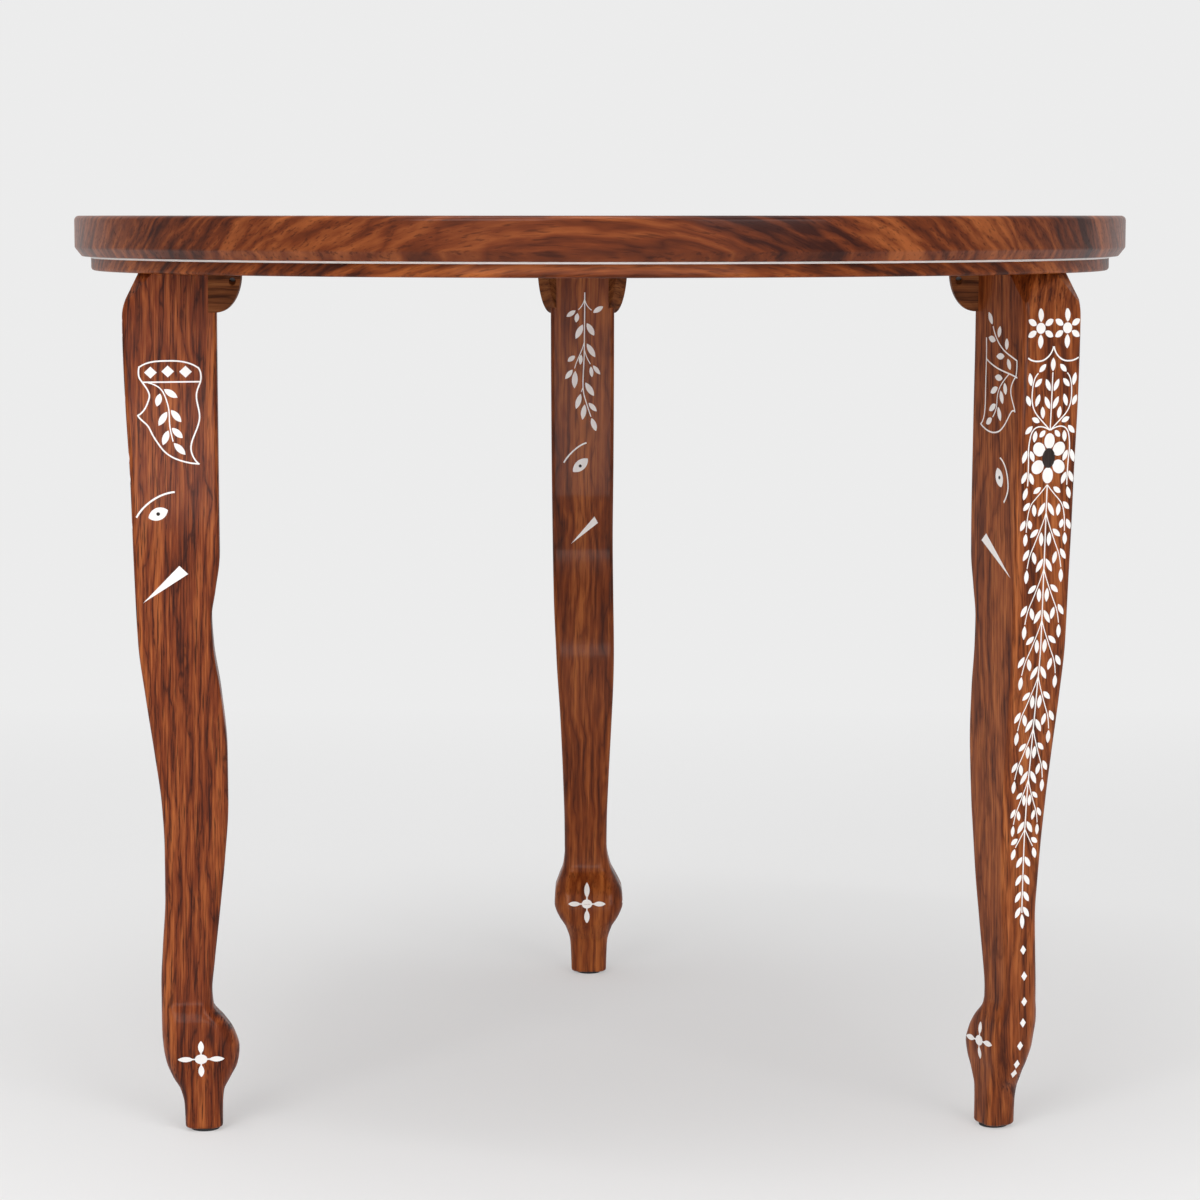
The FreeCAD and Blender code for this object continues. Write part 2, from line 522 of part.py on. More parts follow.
def top_spray(inner_edge, rim):
    """One segment of the top, drawn with the board's edge below: a blossom and two curving sprays."""
    middle = (inner_edge + rim) / 2
    petals = blossom(0, middle, TOP_PETAL_AT, TOP_PETAL_LONG, TOP_PETAL_SHORT)
    side = []
    path = []
    for i in range(SPRAY_STEPS + 1):
        t = i / SPRAY_STEPS
        wave = SPRAY_WAVE * math.sin(2 * math.pi * t)
        path.append((SPRAY_START + SPRAY_REACH * t, middle - SPRAY_SAG * t * t + wave))
    side.append(ribbon(path, SPRAY_STEM))
    for (u, v), (u2, v2) in zip(path, path[1:]):
        way = math.degrees(math.atan2(v2 - v, u2 - u))
        for turn in (SPRAY_LEAF_TURN, -SPRAY_LEAF_TURN):
            a = math.radians(way + turn)
            at = (u + SPRAY_LEAF_OUT * math.cos(a), v + SPRAY_LEAF_OUT * math.sin(a))
            side.append(leaf(*at, way + turn, SPRAY_LEAF_LENGTH, SPRAY_LEAF_WIDTH))
    a = math.radians(way)
    reach = SPRAY_LEAF_LENGTH / 2 - SPRAY_STEM
    tip = (path[-1][0] + reach * math.cos(a), path[-1][1] + reach * math.sin(a))
    side.append(leaf(*tip, way, SPRAY_LEAF_LENGTH, SPRAY_LEAF_WIDTH))
    return joined(petals + side + mirrored(side))


# ---- top --------------------------------------------------------------------------
def rounded_disc(radius, bottom, top, upper_round, bevel_run, bevel_rise, lower_round=0.0):
    """A disc with a rounded upper edge and a bevelled or rounded lower one."""
    a = vec(0, 0, bottom)
    b = vec(radius - max(bevel_run, lower_round), 0, bottom)
    c = vec(radius, 0, bottom + max(bevel_rise, lower_round))
    d = vec(radius, 0, top - upper_round)
    e = vec(radius - upper_round, 0, top)
    f = vec(0, 0, top)
    quarter = math.sqrt(0.5)
    edges = [Part.LineSegment(a, b).toShape()]
    if lower_round:
        mid = vec(radius - lower_round * (1 - quarter), 0, bottom + lower_round * (1 - quarter))
        edges.append(Part.Arc(b, mid, c).toShape())
    else:
        edges.append(Part.LineSegment(b, c).toShape())
    edges.append(Part.LineSegment(c, d).toShape())
    if upper_round:
        mid = vec(radius - upper_round * (1 - quarter), 0, top - upper_round * (1 - quarter))
        edges.append(Part.Arc(d, mid, e).toShape())
    edges += [Part.LineSegment(e, f).toShape(), Part.LineSegment(f, a).toShape()]
    return Part.Face(Part.Wire(edges)).revolve(vec(0, 0), UP, 360)


def ring(outer, width, bottom, height):
    return Part.makeCylinder(outer, height, vec(0, 0, bottom)).cut(
        Part.makeCylinder(outer - width, height, vec(0, 0, bottom)))


def slab(side, bottom, height):
    return Part.makeBox(side, side, height, vec(-side / 2, -side / 2, bottom))


def square_ring(outer, width, bottom, height):
    return slab(outer, bottom, height).cut(slab(outer - 2 * width, bottom, height))


def squares(dark):
    """The 32 tiles of one colour; a dark tile lies at each player's left."""
    tiles = []
    for row in range(SQUARES_A_SIDE):
        for column in range(SQUARES_A_SIDE):
            if ((row + column) % 2 == 0) == dark:
                corner = vec(column * SQUARE - BOARD_SIDE / 2, row * SQUARE - BOARD_SIDE / 2, BED_Z)
                tiles.append(Part.makeBox(SQUARE, SQUARE, BOARD_DEPTH, corner))
    return Part.makeCompound(tiles)


def make_top(bolts, inserts):
    top = rounded_disc(TOP_RADIUS, TOP_UNDER_Z, TOP_Z, TOP_EDGE_ROUND, TOP_BEVEL_RUN, TOP_BEVEL_RISE)
    top = top.cut(slab(BED_SIDE, BED_Z, BOARD_DEPTH))
    rim_string = ring(RIM_STRING_RADIUS, RIM_STRING_WIDTH, INLAY_Z, INLAY_DEPTH)
    cuts = [rim_string] + bolts + inserts
    spray = [face.extrude(vec(0, 0, INLAY_DEPTH)) for face in top_spray(BED_SIDE / 2, RIM_STRING_RADIUS)]
    centre = disc(0, (BED_SIDE / 2 + RIM_STRING_RADIUS) / 2, TOP_BLOSSOM_CENTRE)
    centre = centre.extrude(vec(0, 0, INLAY_DEPTH))
    centres = []
    for number, side in enumerate(("back", "left", "front", "right")):
        pieces = Part.makeCompound(spray)
        pieces.translate(vec(0, 0, INLAY_Z))
        pieces.rotate(vec(0, 0), UP, 90 * number)
        middle = centre.copy()
        middle.translate(vec(0, 0, INLAY_Z))
        middle.rotate(vec(0, 0), UP, 90 * number)
        save(pieces.cut(middle), "top_spray_inlay_%s" % side)
        centres.append(middle)
        cuts += pieces.Solids + [middle]
    save(Part.makeCompound(centres), "top_blossom_centres")
    save(top.cut(cuts), "table_top")
    save(rim_string, "rim_string")
    save(squares(True), "board_dark_squares")
    save(squares(False), "board_light_squares")
    inner = square_ring(BOARD_SIDE + 2 * BOARD_STRING, BOARD_STRING, BED_Z, BOARD_DEPTH)
    outer = square_ring(BED_SIDE, BOARD_STRING, BED_Z, BOARD_DEPTH)
    save(Part.makeCompound([inner, outer]), "board_border_strings")
    save(square_ring(BED_SIDE - 2 * BOARD_STRING, BOARD_FRAME, BED_Z, BOARD_DEPTH), "board_frame")


def make_sub_top(bolts, screws):
    string = ring(SUB_RADIUS, EDGE_STRING_WIDTH, TOP_UNDER_Z - EDGE_STRING_HEIGHT, EDGE_STRING_HEIGHT)
    sub = rounded_disc(SUB_RADIUS, LEG_TOP_Z, TOP_UNDER_Z, 0.0, 0.0, 0.0, SUB_EDGE_ROUND)
    save(string, "edge_stringing")
    save(sub.cut([string] + bolts + screws), "sub_top")


# ---- legs --------------------------------------------------------------------------
def prism_between(low, high, along, half_length):
    """A solid between two edge lines, each a function from height to a point, swept both ways."""
    heights = [lifted(z) for z in SECTION_HEIGHTS]
    outline = [low(z) for z in heights] + [high(z) for z in reversed(heights)]
    face = Part.Face(Part.makePolygon(outline + outline[:1]))
    face.translate(along * -half_length)
    return face.extrude(along * (2 * half_length))


class LegShape:
    """The leg's section against height: s runs forward, t to the side that is the forehead's own right."""

    def __init__(self, shift, half_width):
        self.front = height_curve(TRUNK_FRONT)
        self.rear = height_curve(TRUNK_REAR)
        self.half = height_curve(half_width)
        self.chamfer = height_curve(CHAMFER)
        self.shift = height_curve(shift)

    def half_flat(self, z):
        return self.half(z) - self.chamfer(z)

    def solid(self):
        body = prism_between(lambda z: vec(-self.rear(z), 0, z), lambda z: vec(self.front(z), 0, z),
                             vec(0, 1, 0), REACH)
        sides = prism_between(lambda z: vec(0, self.shift(z) - self.half(z), z),
                              lambda z: vec(0, self.shift(z) + self.half(z), z), vec(1, 0, 0), REACH)
        body = body.common(sides)
        for side in (1, -1):
            body = body.common(self.diagonal_prism(side))
        body = body.common(Part.makeBox(2 * REACH, 2 * REACH, LEG_TOP_Z - GLIDE_HEIGHT,
                                        vec(-REACH, -REACH, GLIDE_HEIGHT)))
        return self.head_facets(body)

    def diagonal_prism(self, side):
        """Trims the forward corner on one side and the rear corner on the other."""
        along = vec(1, -side, 0) * math.sqrt(0.5)
        across = vec(1, side, 0) * 0.5

        def edge(z, forward):
            reach = (self.front(z) if forward > 0 else self.rear(z)) + self.half_flat(z)
            offset = side * self.shift(z)
            return across * (forward * reach + offset) + vec(0, 0, z)

        return prism_between(lambda z: edge(z, -1), lambda z: edge(z, 1), along, REACH)

    def head_facets(self, body):
        """Bevels the forehead's top and cuts its two upper corners."""
        s = self.front(LEG_TOP_Z)
        z = LEG_TOP_Z
        bevel = (vec(s, 0, z - FOREHEAD_DROP), vec(FOREHEAD_DROP, 0, FOREHEAD_RUN))
        body = cut_beyond(body, *bevel)
        for side in (1, -1):
            t = self.shift(z) + side * self.half(z)
            low = vec(s, t, z - FACET_DROP)
            back = vec(s - FACET_ON_SIDE, t, z)
            inner = vec(s, t - side * FACET_ON_FRONT, z - FACET_DROP + FACET_FRONT_RISE)
            normal = (back - low).cross(inner - low)
            if normal.x < 0:
                normal = normal * -1
            body = cut_beyond(body, low, normal)
        return body

    def layer(self, face):
        """The inlay's depth of wood under one face: front, rear, left or right of the trunk."""
        d = INLAY_DEPTH
        if face == "front":
            return prism_between(lambda z: vec(self.front(z) - d, 0, z), lambda z: vec(self.front(z), 0, z),
                                 vec(0, 1, 0), REACH)
        if face == "rear":
            return prism_between(lambda z: vec(-self.rear(z), 0, z), lambda z: vec(d - self.rear(z), 0, z),
                                 vec(0, 1, 0), REACH)
        side = 1 if face == "right" else -1
        return prism_between(lambda z: vec(0, self.shift(z) + side * (self.half(z) - d), z),
                             lambda z: vec(0, self.shift(z) + side * self.half(z), z), vec(1, 0, 0), REACH)


def cut_beyond(body, point, normal):
    """Removes what lies on the outer side of a plane."""
    block = Part.makeBox(4 * REACH, 4 * REACH, REACH, vec(-2 * REACH, -2 * REACH, 0))
    block.Placement = FreeCAD.Placement(point, FreeCAD.Rotation(UP, normal))
    return body.cut(block)


def on_face(drawing, face):
    """Stands a flat drawing up on one side of the leg and sweeps it outwards."""
    views = {"front": (vec(0, 1, 0), vec(1, 0, 0)), "rear": (vec(0, -1, 0), vec(-1, 0, 0)),
             "right": (vec(-1, 0, 0), vec(0, 1, 0)), "left": (vec(1, 0, 0), vec(0, -1, 0))}
    across, outward = views[face]
    turn = FreeCAD.Rotation(across, UP, outward)
    swept = []
    for flat in drawing:
        piece = flat.copy()
        piece.Placement = FreeCAD.Placement(vec(0, 0), turn).multiply(piece.Placement)
        swept.append(piece.extrude(outward * REACH))
    return swept


def inlaid(shape, face, drawing):
    """Pieces of one face's inlay, flush with the wood."""
    return shape.layer(face).common(on_face(drawing, face))


def placed(shape, leg):
    """Moves a shape from the leg's own frame to its place under the top."""
    a = math.radians(leg["place"])
    radius = FOOT_CIRCLE + leg["out"]
    centre = vec(radius * math.cos(a), radius * math.sin(a))
    moved = shape.copy()
    moved.Placement = FreeCAD.Placement(centre, FreeCAD.Rotation(UP, leg["facing"])).multiply(moved.Placement)
    return moved


def glide():
    pad = Part.makeCylinder(GLIDE_DIAMETER / 2, GLIDE_HEIGHT)
    pad = pad.makeFillet(GLIDE_EDGE_ROUND, [pad.Edges[2]])
    return pad.fuse(Part.makeCylinder(GLIDE_PIN_DIAMETER / 2, GLIDE_PIN_LENGTH, vec(0, 0, GLIDE_HEIGHT)))


def bracket_frame(leg, start, heading):
    """Placement with x along the bracket, y square to it and z up, at the underside of the top."""
    turn = FreeCAD.Rotation(UP, heading - leg["facing"])
    return FreeCAD.Placement(vec(start[0], start[1], LEG_TOP_Z), turn)


def bracket_blank(length, drop):
    """A plate with a quarter-oval lower edge, before it is fitted to the leg."""
    outline = []
    for i in range(BRACKET_CURVE_STEPS + 1):
        a = math.pi / 2 / BRACKET_CURVE_STEPS * i
        outline.append(vec(length * math.cos(a), 0, -drop * math.sin(a)))
    curve = Part.BSplineCurve()
    curve.interpolate(outline)
    corners = [outline[-1], vec(-BRACKET_ROOT, 0, -drop), vec(-BRACKET_ROOT, 0, 0), outline[0]]
    edges = [curve.toShape()] + [Part.LineSegment(a, b).toShape() for a, b in zip(corners, corners[1:])]
    face = Part.Face(Part.Wire(edges))
    face.translate(vec(0, -BRACKET_THICKNESS / 2, 0))
    return face.extrude(vec(0, BRACKET_THICKNESS, 0))


def pocket_screw(length, side):
    """The slanting pocket and the screw in it, driven up through the bracket into the top."""
    mouth = vec(length - POCKET_FROM_END, side * BRACKET_THICKNESS / 2, -POCKET_DROP)
    a = math.radians(POCKET_RISE_DEG)
    way = vec(0, -side * math.cos(a), math.sin(a))
    seat = mouth + way * SCREW_HEAD_SETBACK
    head = Part.makeCylinder(SCREW_HEAD_DIAMETER / 2, SCREW_HEAD_LENGTH, seat, way)
    under = seat + way * SCREW_HEAD_LENGTH
    shank = Part.makeCylinder(SCREW_SHANK_DIAMETER / 2, SCREW_SHANK_LENGTH, under, way)
    run_out = POCKET_DIAMETER
    pocket = Part.makeCylinder(POCKET_DIAMETER / 2, run_out + SCREW_HEAD_SETBACK + SCREW_HEAD_LENGTH,
                               mouth - way * run_out, way)
    return pocket, head.fuse(shank)


def make_leg(name, leg):
    """Writes one leg with all that it carries, and returns its bracket screws."""
    shape = LegShape(leg["shift"], leg["half_width"])
    blank = shape.solid()
    foot_pad = glide()
    bolt = Part.makeCylinder(BOLT_DIAMETER / 2, BOLT_IN_LEG, bolt_seat(leg, LEG_TOP_Z - BOLT_IN_LEG))
    cuts = [foot_pad, bolt]

    drawings = {
        "forehead": ("front", floral_front(shape)),
        "right_ear": ("right", banded_ear_side()),
        "left_ear": ("left", vine_ear_side()),
    }
    if name == "back":
        drawings["inner"] = ("rear", vine_back(shape))
    ebony = []
    for label, (face, drawing) in drawings.items():
        dots = inlaid(shape, face, drawing.dots)
        pieces = inlaid(shape, face, drawing.bone()).cut(dots)
        save(placed(pieces, leg), "%s_leg_%s_inlay" % (name, label))
        cuts += pieces.Solids + dots.Solids
        ebony += dots.Solids
    save(placed(Part.makeCompound(ebony), leg), "%s_leg_ebony_dots" % name)
    save(placed(blank.cut(cuts), leg), "%s_leg" % name)
    save(placed(foot_pad, leg), "%s_foot_glide" % name)

    screws = []
    for number, (s, t, heading, length, drop, side) in enumerate(leg["brackets"]):
        frame = bracket_frame(leg, (s, t), heading)
        plate = bracket_blank(length, drop)
        pocket, screw = pocket_screw(length, side)
        for piece in (plate, pocket, screw):
            piece.Placement = frame.multiply(piece.Placement)
        fitted = plate.cut([blank, pocket, screw])
        outer = max(fitted.Solids, key=lambda solid: solid.Volume)
        save(placed(outer, leg), "%s_leg_bracket_%s" % (name, "ab"[number]))
        screws.append(placed(screw, leg))
    save(Part.makeCompound(screws), "%s_bracket_screws" % name)
    return screws


def bolt_seat(leg, z):
    """The bolt's axis in the leg's own frame, midway between the head's two sides."""
    return vec(BOLT_SETBACK, height_curve(leg["shift"])(LEG_TOP_Z), z)


def make_bolts():
    """Hanger bolts through the sub-top, and the brass inserts that hold them in the top."""
    bolts = []
    inserts = []
    for name, leg in LEGS.items():
        start = bolt_seat(leg, LEG_TOP_Z - BOLT_IN_LEG)
        bolt = placed(Part.makeCylinder(BOLT_DIAMETER / 2, BOLT_LENGTH, start), leg)
        save(bolt, "%s_leg_bolt" % name)
        bolts.append(bolt)
        seat = bolt_seat(leg, TOP_UNDER_Z)
        sleeve = Part.makeCylinder(INSERT_DIAMETER / 2, INSERT_LENGTH, seat)
        sleeve = sleeve.cut(Part.makeCylinder(BOLT_DIAMETER / 2, INSERT_LENGTH, seat))
        inserts.append(placed(sleeve, leg))
    save(Part.makeCompound(inserts), "leg_bolt_inserts")
    return bolts, inserts


def main():
    os.makedirs("parts", exist_ok=True)
    bolts, inserts = make_bolts()
    make_top(bolts, inserts)
    screws = []
    for name, leg in LEGS.items():
        screws += make_leg(name, leg)
    make_sub_top(bolts, screws)


main()
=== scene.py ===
"""Round chess table on three carved elephant-trunk legs: finish, smooth surfaces, light and camera.

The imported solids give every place. Legs, discs and tiles are rebuilt here as finer surfaces, and the
inlay is laid on the smooth legs. Sizes are in millimetres unless a name says otherwise.
"""

import math

import bmesh
import bpy
import numpy as np
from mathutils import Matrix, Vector


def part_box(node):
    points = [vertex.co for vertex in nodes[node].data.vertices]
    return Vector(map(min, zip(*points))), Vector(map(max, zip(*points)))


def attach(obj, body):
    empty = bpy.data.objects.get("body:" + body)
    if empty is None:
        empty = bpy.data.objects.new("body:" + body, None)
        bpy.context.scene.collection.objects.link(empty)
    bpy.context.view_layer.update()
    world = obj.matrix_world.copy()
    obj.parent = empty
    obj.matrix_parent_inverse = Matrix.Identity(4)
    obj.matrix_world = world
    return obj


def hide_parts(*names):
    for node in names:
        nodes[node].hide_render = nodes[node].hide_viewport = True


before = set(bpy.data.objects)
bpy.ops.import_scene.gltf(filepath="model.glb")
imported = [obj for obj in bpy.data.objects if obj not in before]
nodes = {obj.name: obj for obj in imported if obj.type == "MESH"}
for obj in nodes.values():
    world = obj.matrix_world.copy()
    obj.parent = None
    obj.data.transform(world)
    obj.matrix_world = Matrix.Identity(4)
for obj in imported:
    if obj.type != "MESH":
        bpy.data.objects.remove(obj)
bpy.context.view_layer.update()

MM = 0.001

# ---- sizes shared with the solids -----------------------------------------------
TABLE_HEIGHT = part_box("table_top")[1].z / MM
TOP_UNDER_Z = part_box("table_top")[0].z / MM
TOP_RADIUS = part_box("table_top")[1].x / MM
SUB_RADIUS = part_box("sub_top")[1].x / MM
LEG_TOP_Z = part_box("sub_top")[0].z / MM
LEG_BOTTOM_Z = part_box("left_leg")[0].z / MM
STRING_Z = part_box("edge_stringing")[0].z / MM
BED_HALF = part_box("board_border_strings")[1].x / MM
BED_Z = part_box("board_border_strings")[0].z / MM
BOARD_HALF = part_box("board_light_squares")[1].x / MM
SQUARES_A_SIDE = 8
SQUARE = 2 * BOARD_HALF / SQUARES_A_SIDE
TOP_EDGE_ROUND = 3.0
TOP_BEVEL_RISE = 5.5
TOP_BEVEL_RUN = 4.3
SUB_EDGE_ROUND = 2.0
STRING_DEPTH = 3.0
FOOT_SETBACK = 42.0
FOOT_CIRCLE = SUB_RADIUS - FOOT_SETBACK

# Leg section against height: forward edge, rear edge, half width and corner chamfer.
TRUNK_FRONT = [(0, 11.8), (16, 12.4), (25, 14.5), (33, 19.2), (42, 22.9), (52, 24.6), (64, 25.3),
               (90, 25.3), (115, 24.0), (145, 22.1), (175, 22.0), (202, 23.2), (232, 26.8), (269, 31.9),
               (300, 35.6), (347, 37.4), (400, 38.8), (444, 40.9), (485, 42.0), (520, 42.0)]
TRUNK_REAR = [(0, 10.6), (16, 10.9), (24, 11.6), (32, 15.6), (41, 20.1), (50, 21.3), (60, 18.4),
              (69, 12.4), (77, 6.0), (86, 5.3), (103, 6.9), (140, 11.1), (171, 14.3), (201, 16.4),
              (232, 16.3), (269, 13.0), (297, 8.9), (314, 8.0), (332, 10.6), (352, 13.2), (390, 13.2),
              (450, 13.2), (520, 13.4)]
SLIM_HALF_WIDTH = [(0, 9.8), (20, 10.1), (36, 10.6), (44, 12.4), (54, 14.2), (66, 14.2), (74, 13.2),
                   (82, 11.8), (104, 11.2), (130, 11.6), (150, 12.6), (187, 14.4), (210, 15.6),
                   (235, 16.6), (264, 17.8), (300, 18.9), (333, 19.3), (385, 20.1), (440, 20.2),
                   (480, 20.0), (520, 20.0)]
KNOB_HALF_WIDTH = [(0, 12.6), (16, 13.1), (24, 13.6), (36, 17.0), (44, 21.8), (53, 24.9), (62, 24.3),
                   (70, 21.2), (79, 17.2), (92, 15.4), (110, 15.5), (144, 16.6), (188, 18.6), (232, 20.8),
                   (276, 21.6), (320, 21.8), (385, 22.4), (450, 22.7), (520, 22.8)]
CHAMFER = [(0, 3.6), (20, 4.2), (36, 6.0), (52, 7.0), (68, 6.0), (86, 4.2), (120, 3.0), (200, 2.2),
           (300, 1.8), (520, 1.8)]
# How far the trunk's middle stands to the forehead's own right of the foot's, against height.
NO_SHIFT = [(0, 0), (520, 0)]
RIGHT_SHIFT = [(0, 0), (30, 0.4), (55, 2.2), (80, 4.3), (130, 3.6), (205, 5.3), (300, 5.3), (475, 7.0),
               (520, 7.3)]
BACK_SHIFT = [(0, 0), (55, 0.1), (95, 2.3), (190, 1.9), (235, 2.5), (280, 3.7), (330, 4.3), (520, 4.3)]
FOREHEAD_DROP = 19.5
FOREHEAD_RUN = 9.6
FOREHEAD_EASE = 3.0
FACET_DROP = 20.0
FACET_ON_SIDE = 18.0
FACET_ON_FRONT = 16.0
FACET_FRONT_RISE = 12.0
FOOT_EDGE_ROUND = 2.0
LEGS = {
    "left": dict(place=211.4, out=4.0, facing=186.0, shift=NO_SHIFT, half_width=SLIM_HALF_WIDTH),
    "right": dict(place=330.0, out=0.0, facing=297.0, shift=RIGHT_SHIFT, half_width=SLIM_HALF_WIDTH),
    "back": dict(place=91.7, out=0.0, facing=90.0, shift=BACK_SHIFT, half_width=KNOB_HALF_WIDTH),
}


# ---- mesh helpers -----------------------------------------------------------------
SAME_POINT = 0.002


def smooth_curve(table, z):
    """Monotone cubic through the table's points, worked out for a whole array of heights.

    The slope at an inner point is the harmonic mean of the slopes on its two sides, or level where
    they differ in sign.
    """
    xs = np.array([p[0] for p in table], float)
    ys = np.array([p[1] for p in table], float)
    slopes = np.diff(ys) / np.diff(xs)
    product = slopes[:-1] * slopes[1:]
    total = slopes[:-1] + slopes[1:]
    inner = np.where(product > 0, 2 * product / np.where(total == 0, 1, total), 0.0)
    tangents = np.concatenate([slopes[:1], inner, slopes[-1:]])
    z = np.clip(z, xs[0], xs[-1])
    i = np.clip(np.searchsorted(xs, z, side="right") - 1, 0, len(xs) - 2)
    step = xs[i + 1] - xs[i]
    t = (z - xs[i]) / step
    rise = ys[i] * (1 + 2 * t) * (1 - t) ** 2 + ys[i + 1] * t * t * (3 - 2 * t)
    return rise + step * (tangents[i] * t * (1 - t) ** 2 - tangents[i + 1] * t * t * (1 - t))


def new_piece(name, points_mm, faces):
    """A mesh object at the origin, from points in millimetres and faces that number them."""
    mesh = bpy.data.meshes.new(name)
    mesh.from_pydata((np.asarray(points_mm, float) * MM).tolist(), [], faces)
    mesh.validate()
    piece = bpy.data.objects.new(name, mesh)
    bpy.context.scene.collection.objects.link(piece)
    return piece


def tube_faces(rows, columns, closed_rows=False):
    """Quads between neighbouring rows of a grid whose rows each close on themselves."""
    r = np.arange(rows if closed_rows else rows - 1)[:, None]
    c = np.arange(columns)[None, :]
    up = (r + 1) % rows
    side = (c + 1) % columns
    quads = [r * columns + c, r * columns + side, up * columns + side, up * columns + c]
    return np.stack(quads, axis=-1).reshape(-1, 4).tolist()


def sharpen(piece, degrees):
    """Smooth shading with crisp edges where faces meet at more than the angle."""
    mesh = piece.data
    mesh.shade_smooth()
    mesh.set_sharp_from_angle(angle=math.radians(degrees))


def soften_edges(piece, width_mm, degrees):
    """Breaks the edges where faces meet at more than the angle."""
    bevel = piece.modifiers.new("edge", "BEVEL")
    bevel.width = width_mm * MM
    bevel.segments = 2
    bevel.limit_method = "ANGLE"
    bevel.angle_limit = math.radians(degrees)


def finish_piece(piece, slot, material, *replaced):
    """Gives a piece its material and its body, and hides the solids that it stands for. The slot is not
    used.
    """
    piece.data.materials.clear()
    piece.data.materials.append(material)
    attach(piece, "root")
    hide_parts(*replaced)
    return piece


def merged_copy(node, name):
    """A finer piece's start: the solid's triangles with their doubles merged."""
    mesh = nodes[node].data.copy()
    mesh.name = name
    mesh.materials.clear()
    bm = bmesh.new()
    bm.from_mesh(mesh)
    bmesh.ops.remove_doubles(bm, verts=bm.verts, dist=SAME_POINT * MM)
    bm.to_mesh(mesh)
    bm.free()
    piece = bpy.data.objects.new(name, mesh)
    bpy.context.scene.collection.objects.link(piece)
    return piece


# ---- materials --------------------------------------------------------------------
class Nodes:
    """Short calls for building one material's node tree."""

    def __init__(self, name):
        self.material = bpy.data.materials.new(name)
        self.material.use_nodes = True
        self.tree = self.material.node_tree
        self.shader = self.tree.nodes["Principled BSDF"]

    def add(self, kind, **settings):
        """A new node with its settings."""
        node = self.tree.nodes.new(kind)
        for key, value in settings.items():
            setattr(node, key, value)
        return node

    def link(self, source, target):
        self.tree.links.new(source, target)

    def feed(self, socket, value):
        """Links a socket's value, or sets a plain one."""
        if isinstance(value, bpy.types.NodeSocket):
            self.link(value, socket)
        else:
            socket.default_value = value

    def math(self, operation, a, b):
        node = self.add("ShaderNodeMath", operation=operation)
        self.feed(node.inputs[0], a)
        self.feed(node.inputs[1], b)
        return node.outputs[0]

    def place(self, scale, shift=(0, 0, 0), turn=(0, 0, 0)):
        """Object coordinates, shifted and turned in metres and then scaled."""
        where = self.add("ShaderNodeTexCoord").outputs["Object"]
        moved = self.add("ShaderNodeMapping", vector_type="TEXTURE")
        moved.inputs["Location"].default_value = shift
        moved.inputs["Rotation"].default_value = [math.radians(x) for x in turn]
        self.link(where, moved.inputs["Vector"])
        scaled = self.add("ShaderNodeVectorMath", operation="MULTIPLY")
        self.link(moved.outputs[0], scaled.inputs[0])
        scaled.inputs[1].default_value = scale
        return scaled.outputs[0]

    def noise(self, where, detail, roughness, seed):
        """Cloudy noise over a place that is already scaled."""
        node = self.add("ShaderNodeTexNoise", noise_dimensions="4D")
        self.link(where, node.inputs["Vector"])
        node.inputs["W"].default_value = seed
        node.inputs["Scale"].default_value = 1.0
        node.inputs["Detail"].default_value = detail
        node.inputs["Roughness"].default_value = roughness
        return node.outputs[0]

    def ramp(self, value, stops):
        """Colours against a value, as pairs of position and colour."""
        node = self.add("ShaderNodeValToRGB")
        self.link(value, node.inputs[0])
        elements = node.color_ramp.elements
        while len(elements) < len(stops):
            elements.new(0.5)
        for element, (position, colour) in zip(elements, stops):
            element.position = position
            element.color = (*colour, 1)
        return node.outputs[0]

    def cover(self, factor, under, over):
        """A plain colour laid over a linked one by a linked share."""
        node = self.add("ShaderNodeMix", data_type="RGBA")
        self.link(factor, node.inputs[0])
        self.link(under, node.inputs[6])
        node.inputs[7].default_value = (*over, 1)
        return node.outputs[2]

    def remap(self, value, low, high, to_low, to_high):
        """Straight line from one range to another, held at its ends."""
        node = self.add("ShaderNodeMapRange")
        self.link(value, node.inputs[0])
        for socket, number in zip(node.inputs[1:5], (low, high, to_low, to_high)):
            socket.default_value = number
        return node.outputs[0]

    def bump(self, height, strength, distance_mm):
        """Fine relief on the surface."""
        node = self.add("ShaderNodeBump")
        node.inputs["Strength"].default_value = strength
        node.inputs["Distance"].default_value = distance_mm * MM
        self.link(height, node.inputs["Height"])
        self.link(node.outputs[0], self.shader.inputs["Normal"])


RING_WIDTH = 7.5
RING_WANDER = 5.0
RING_SHARE = 0.30
STAIN_AND_STREAK_SHARE = 1.42


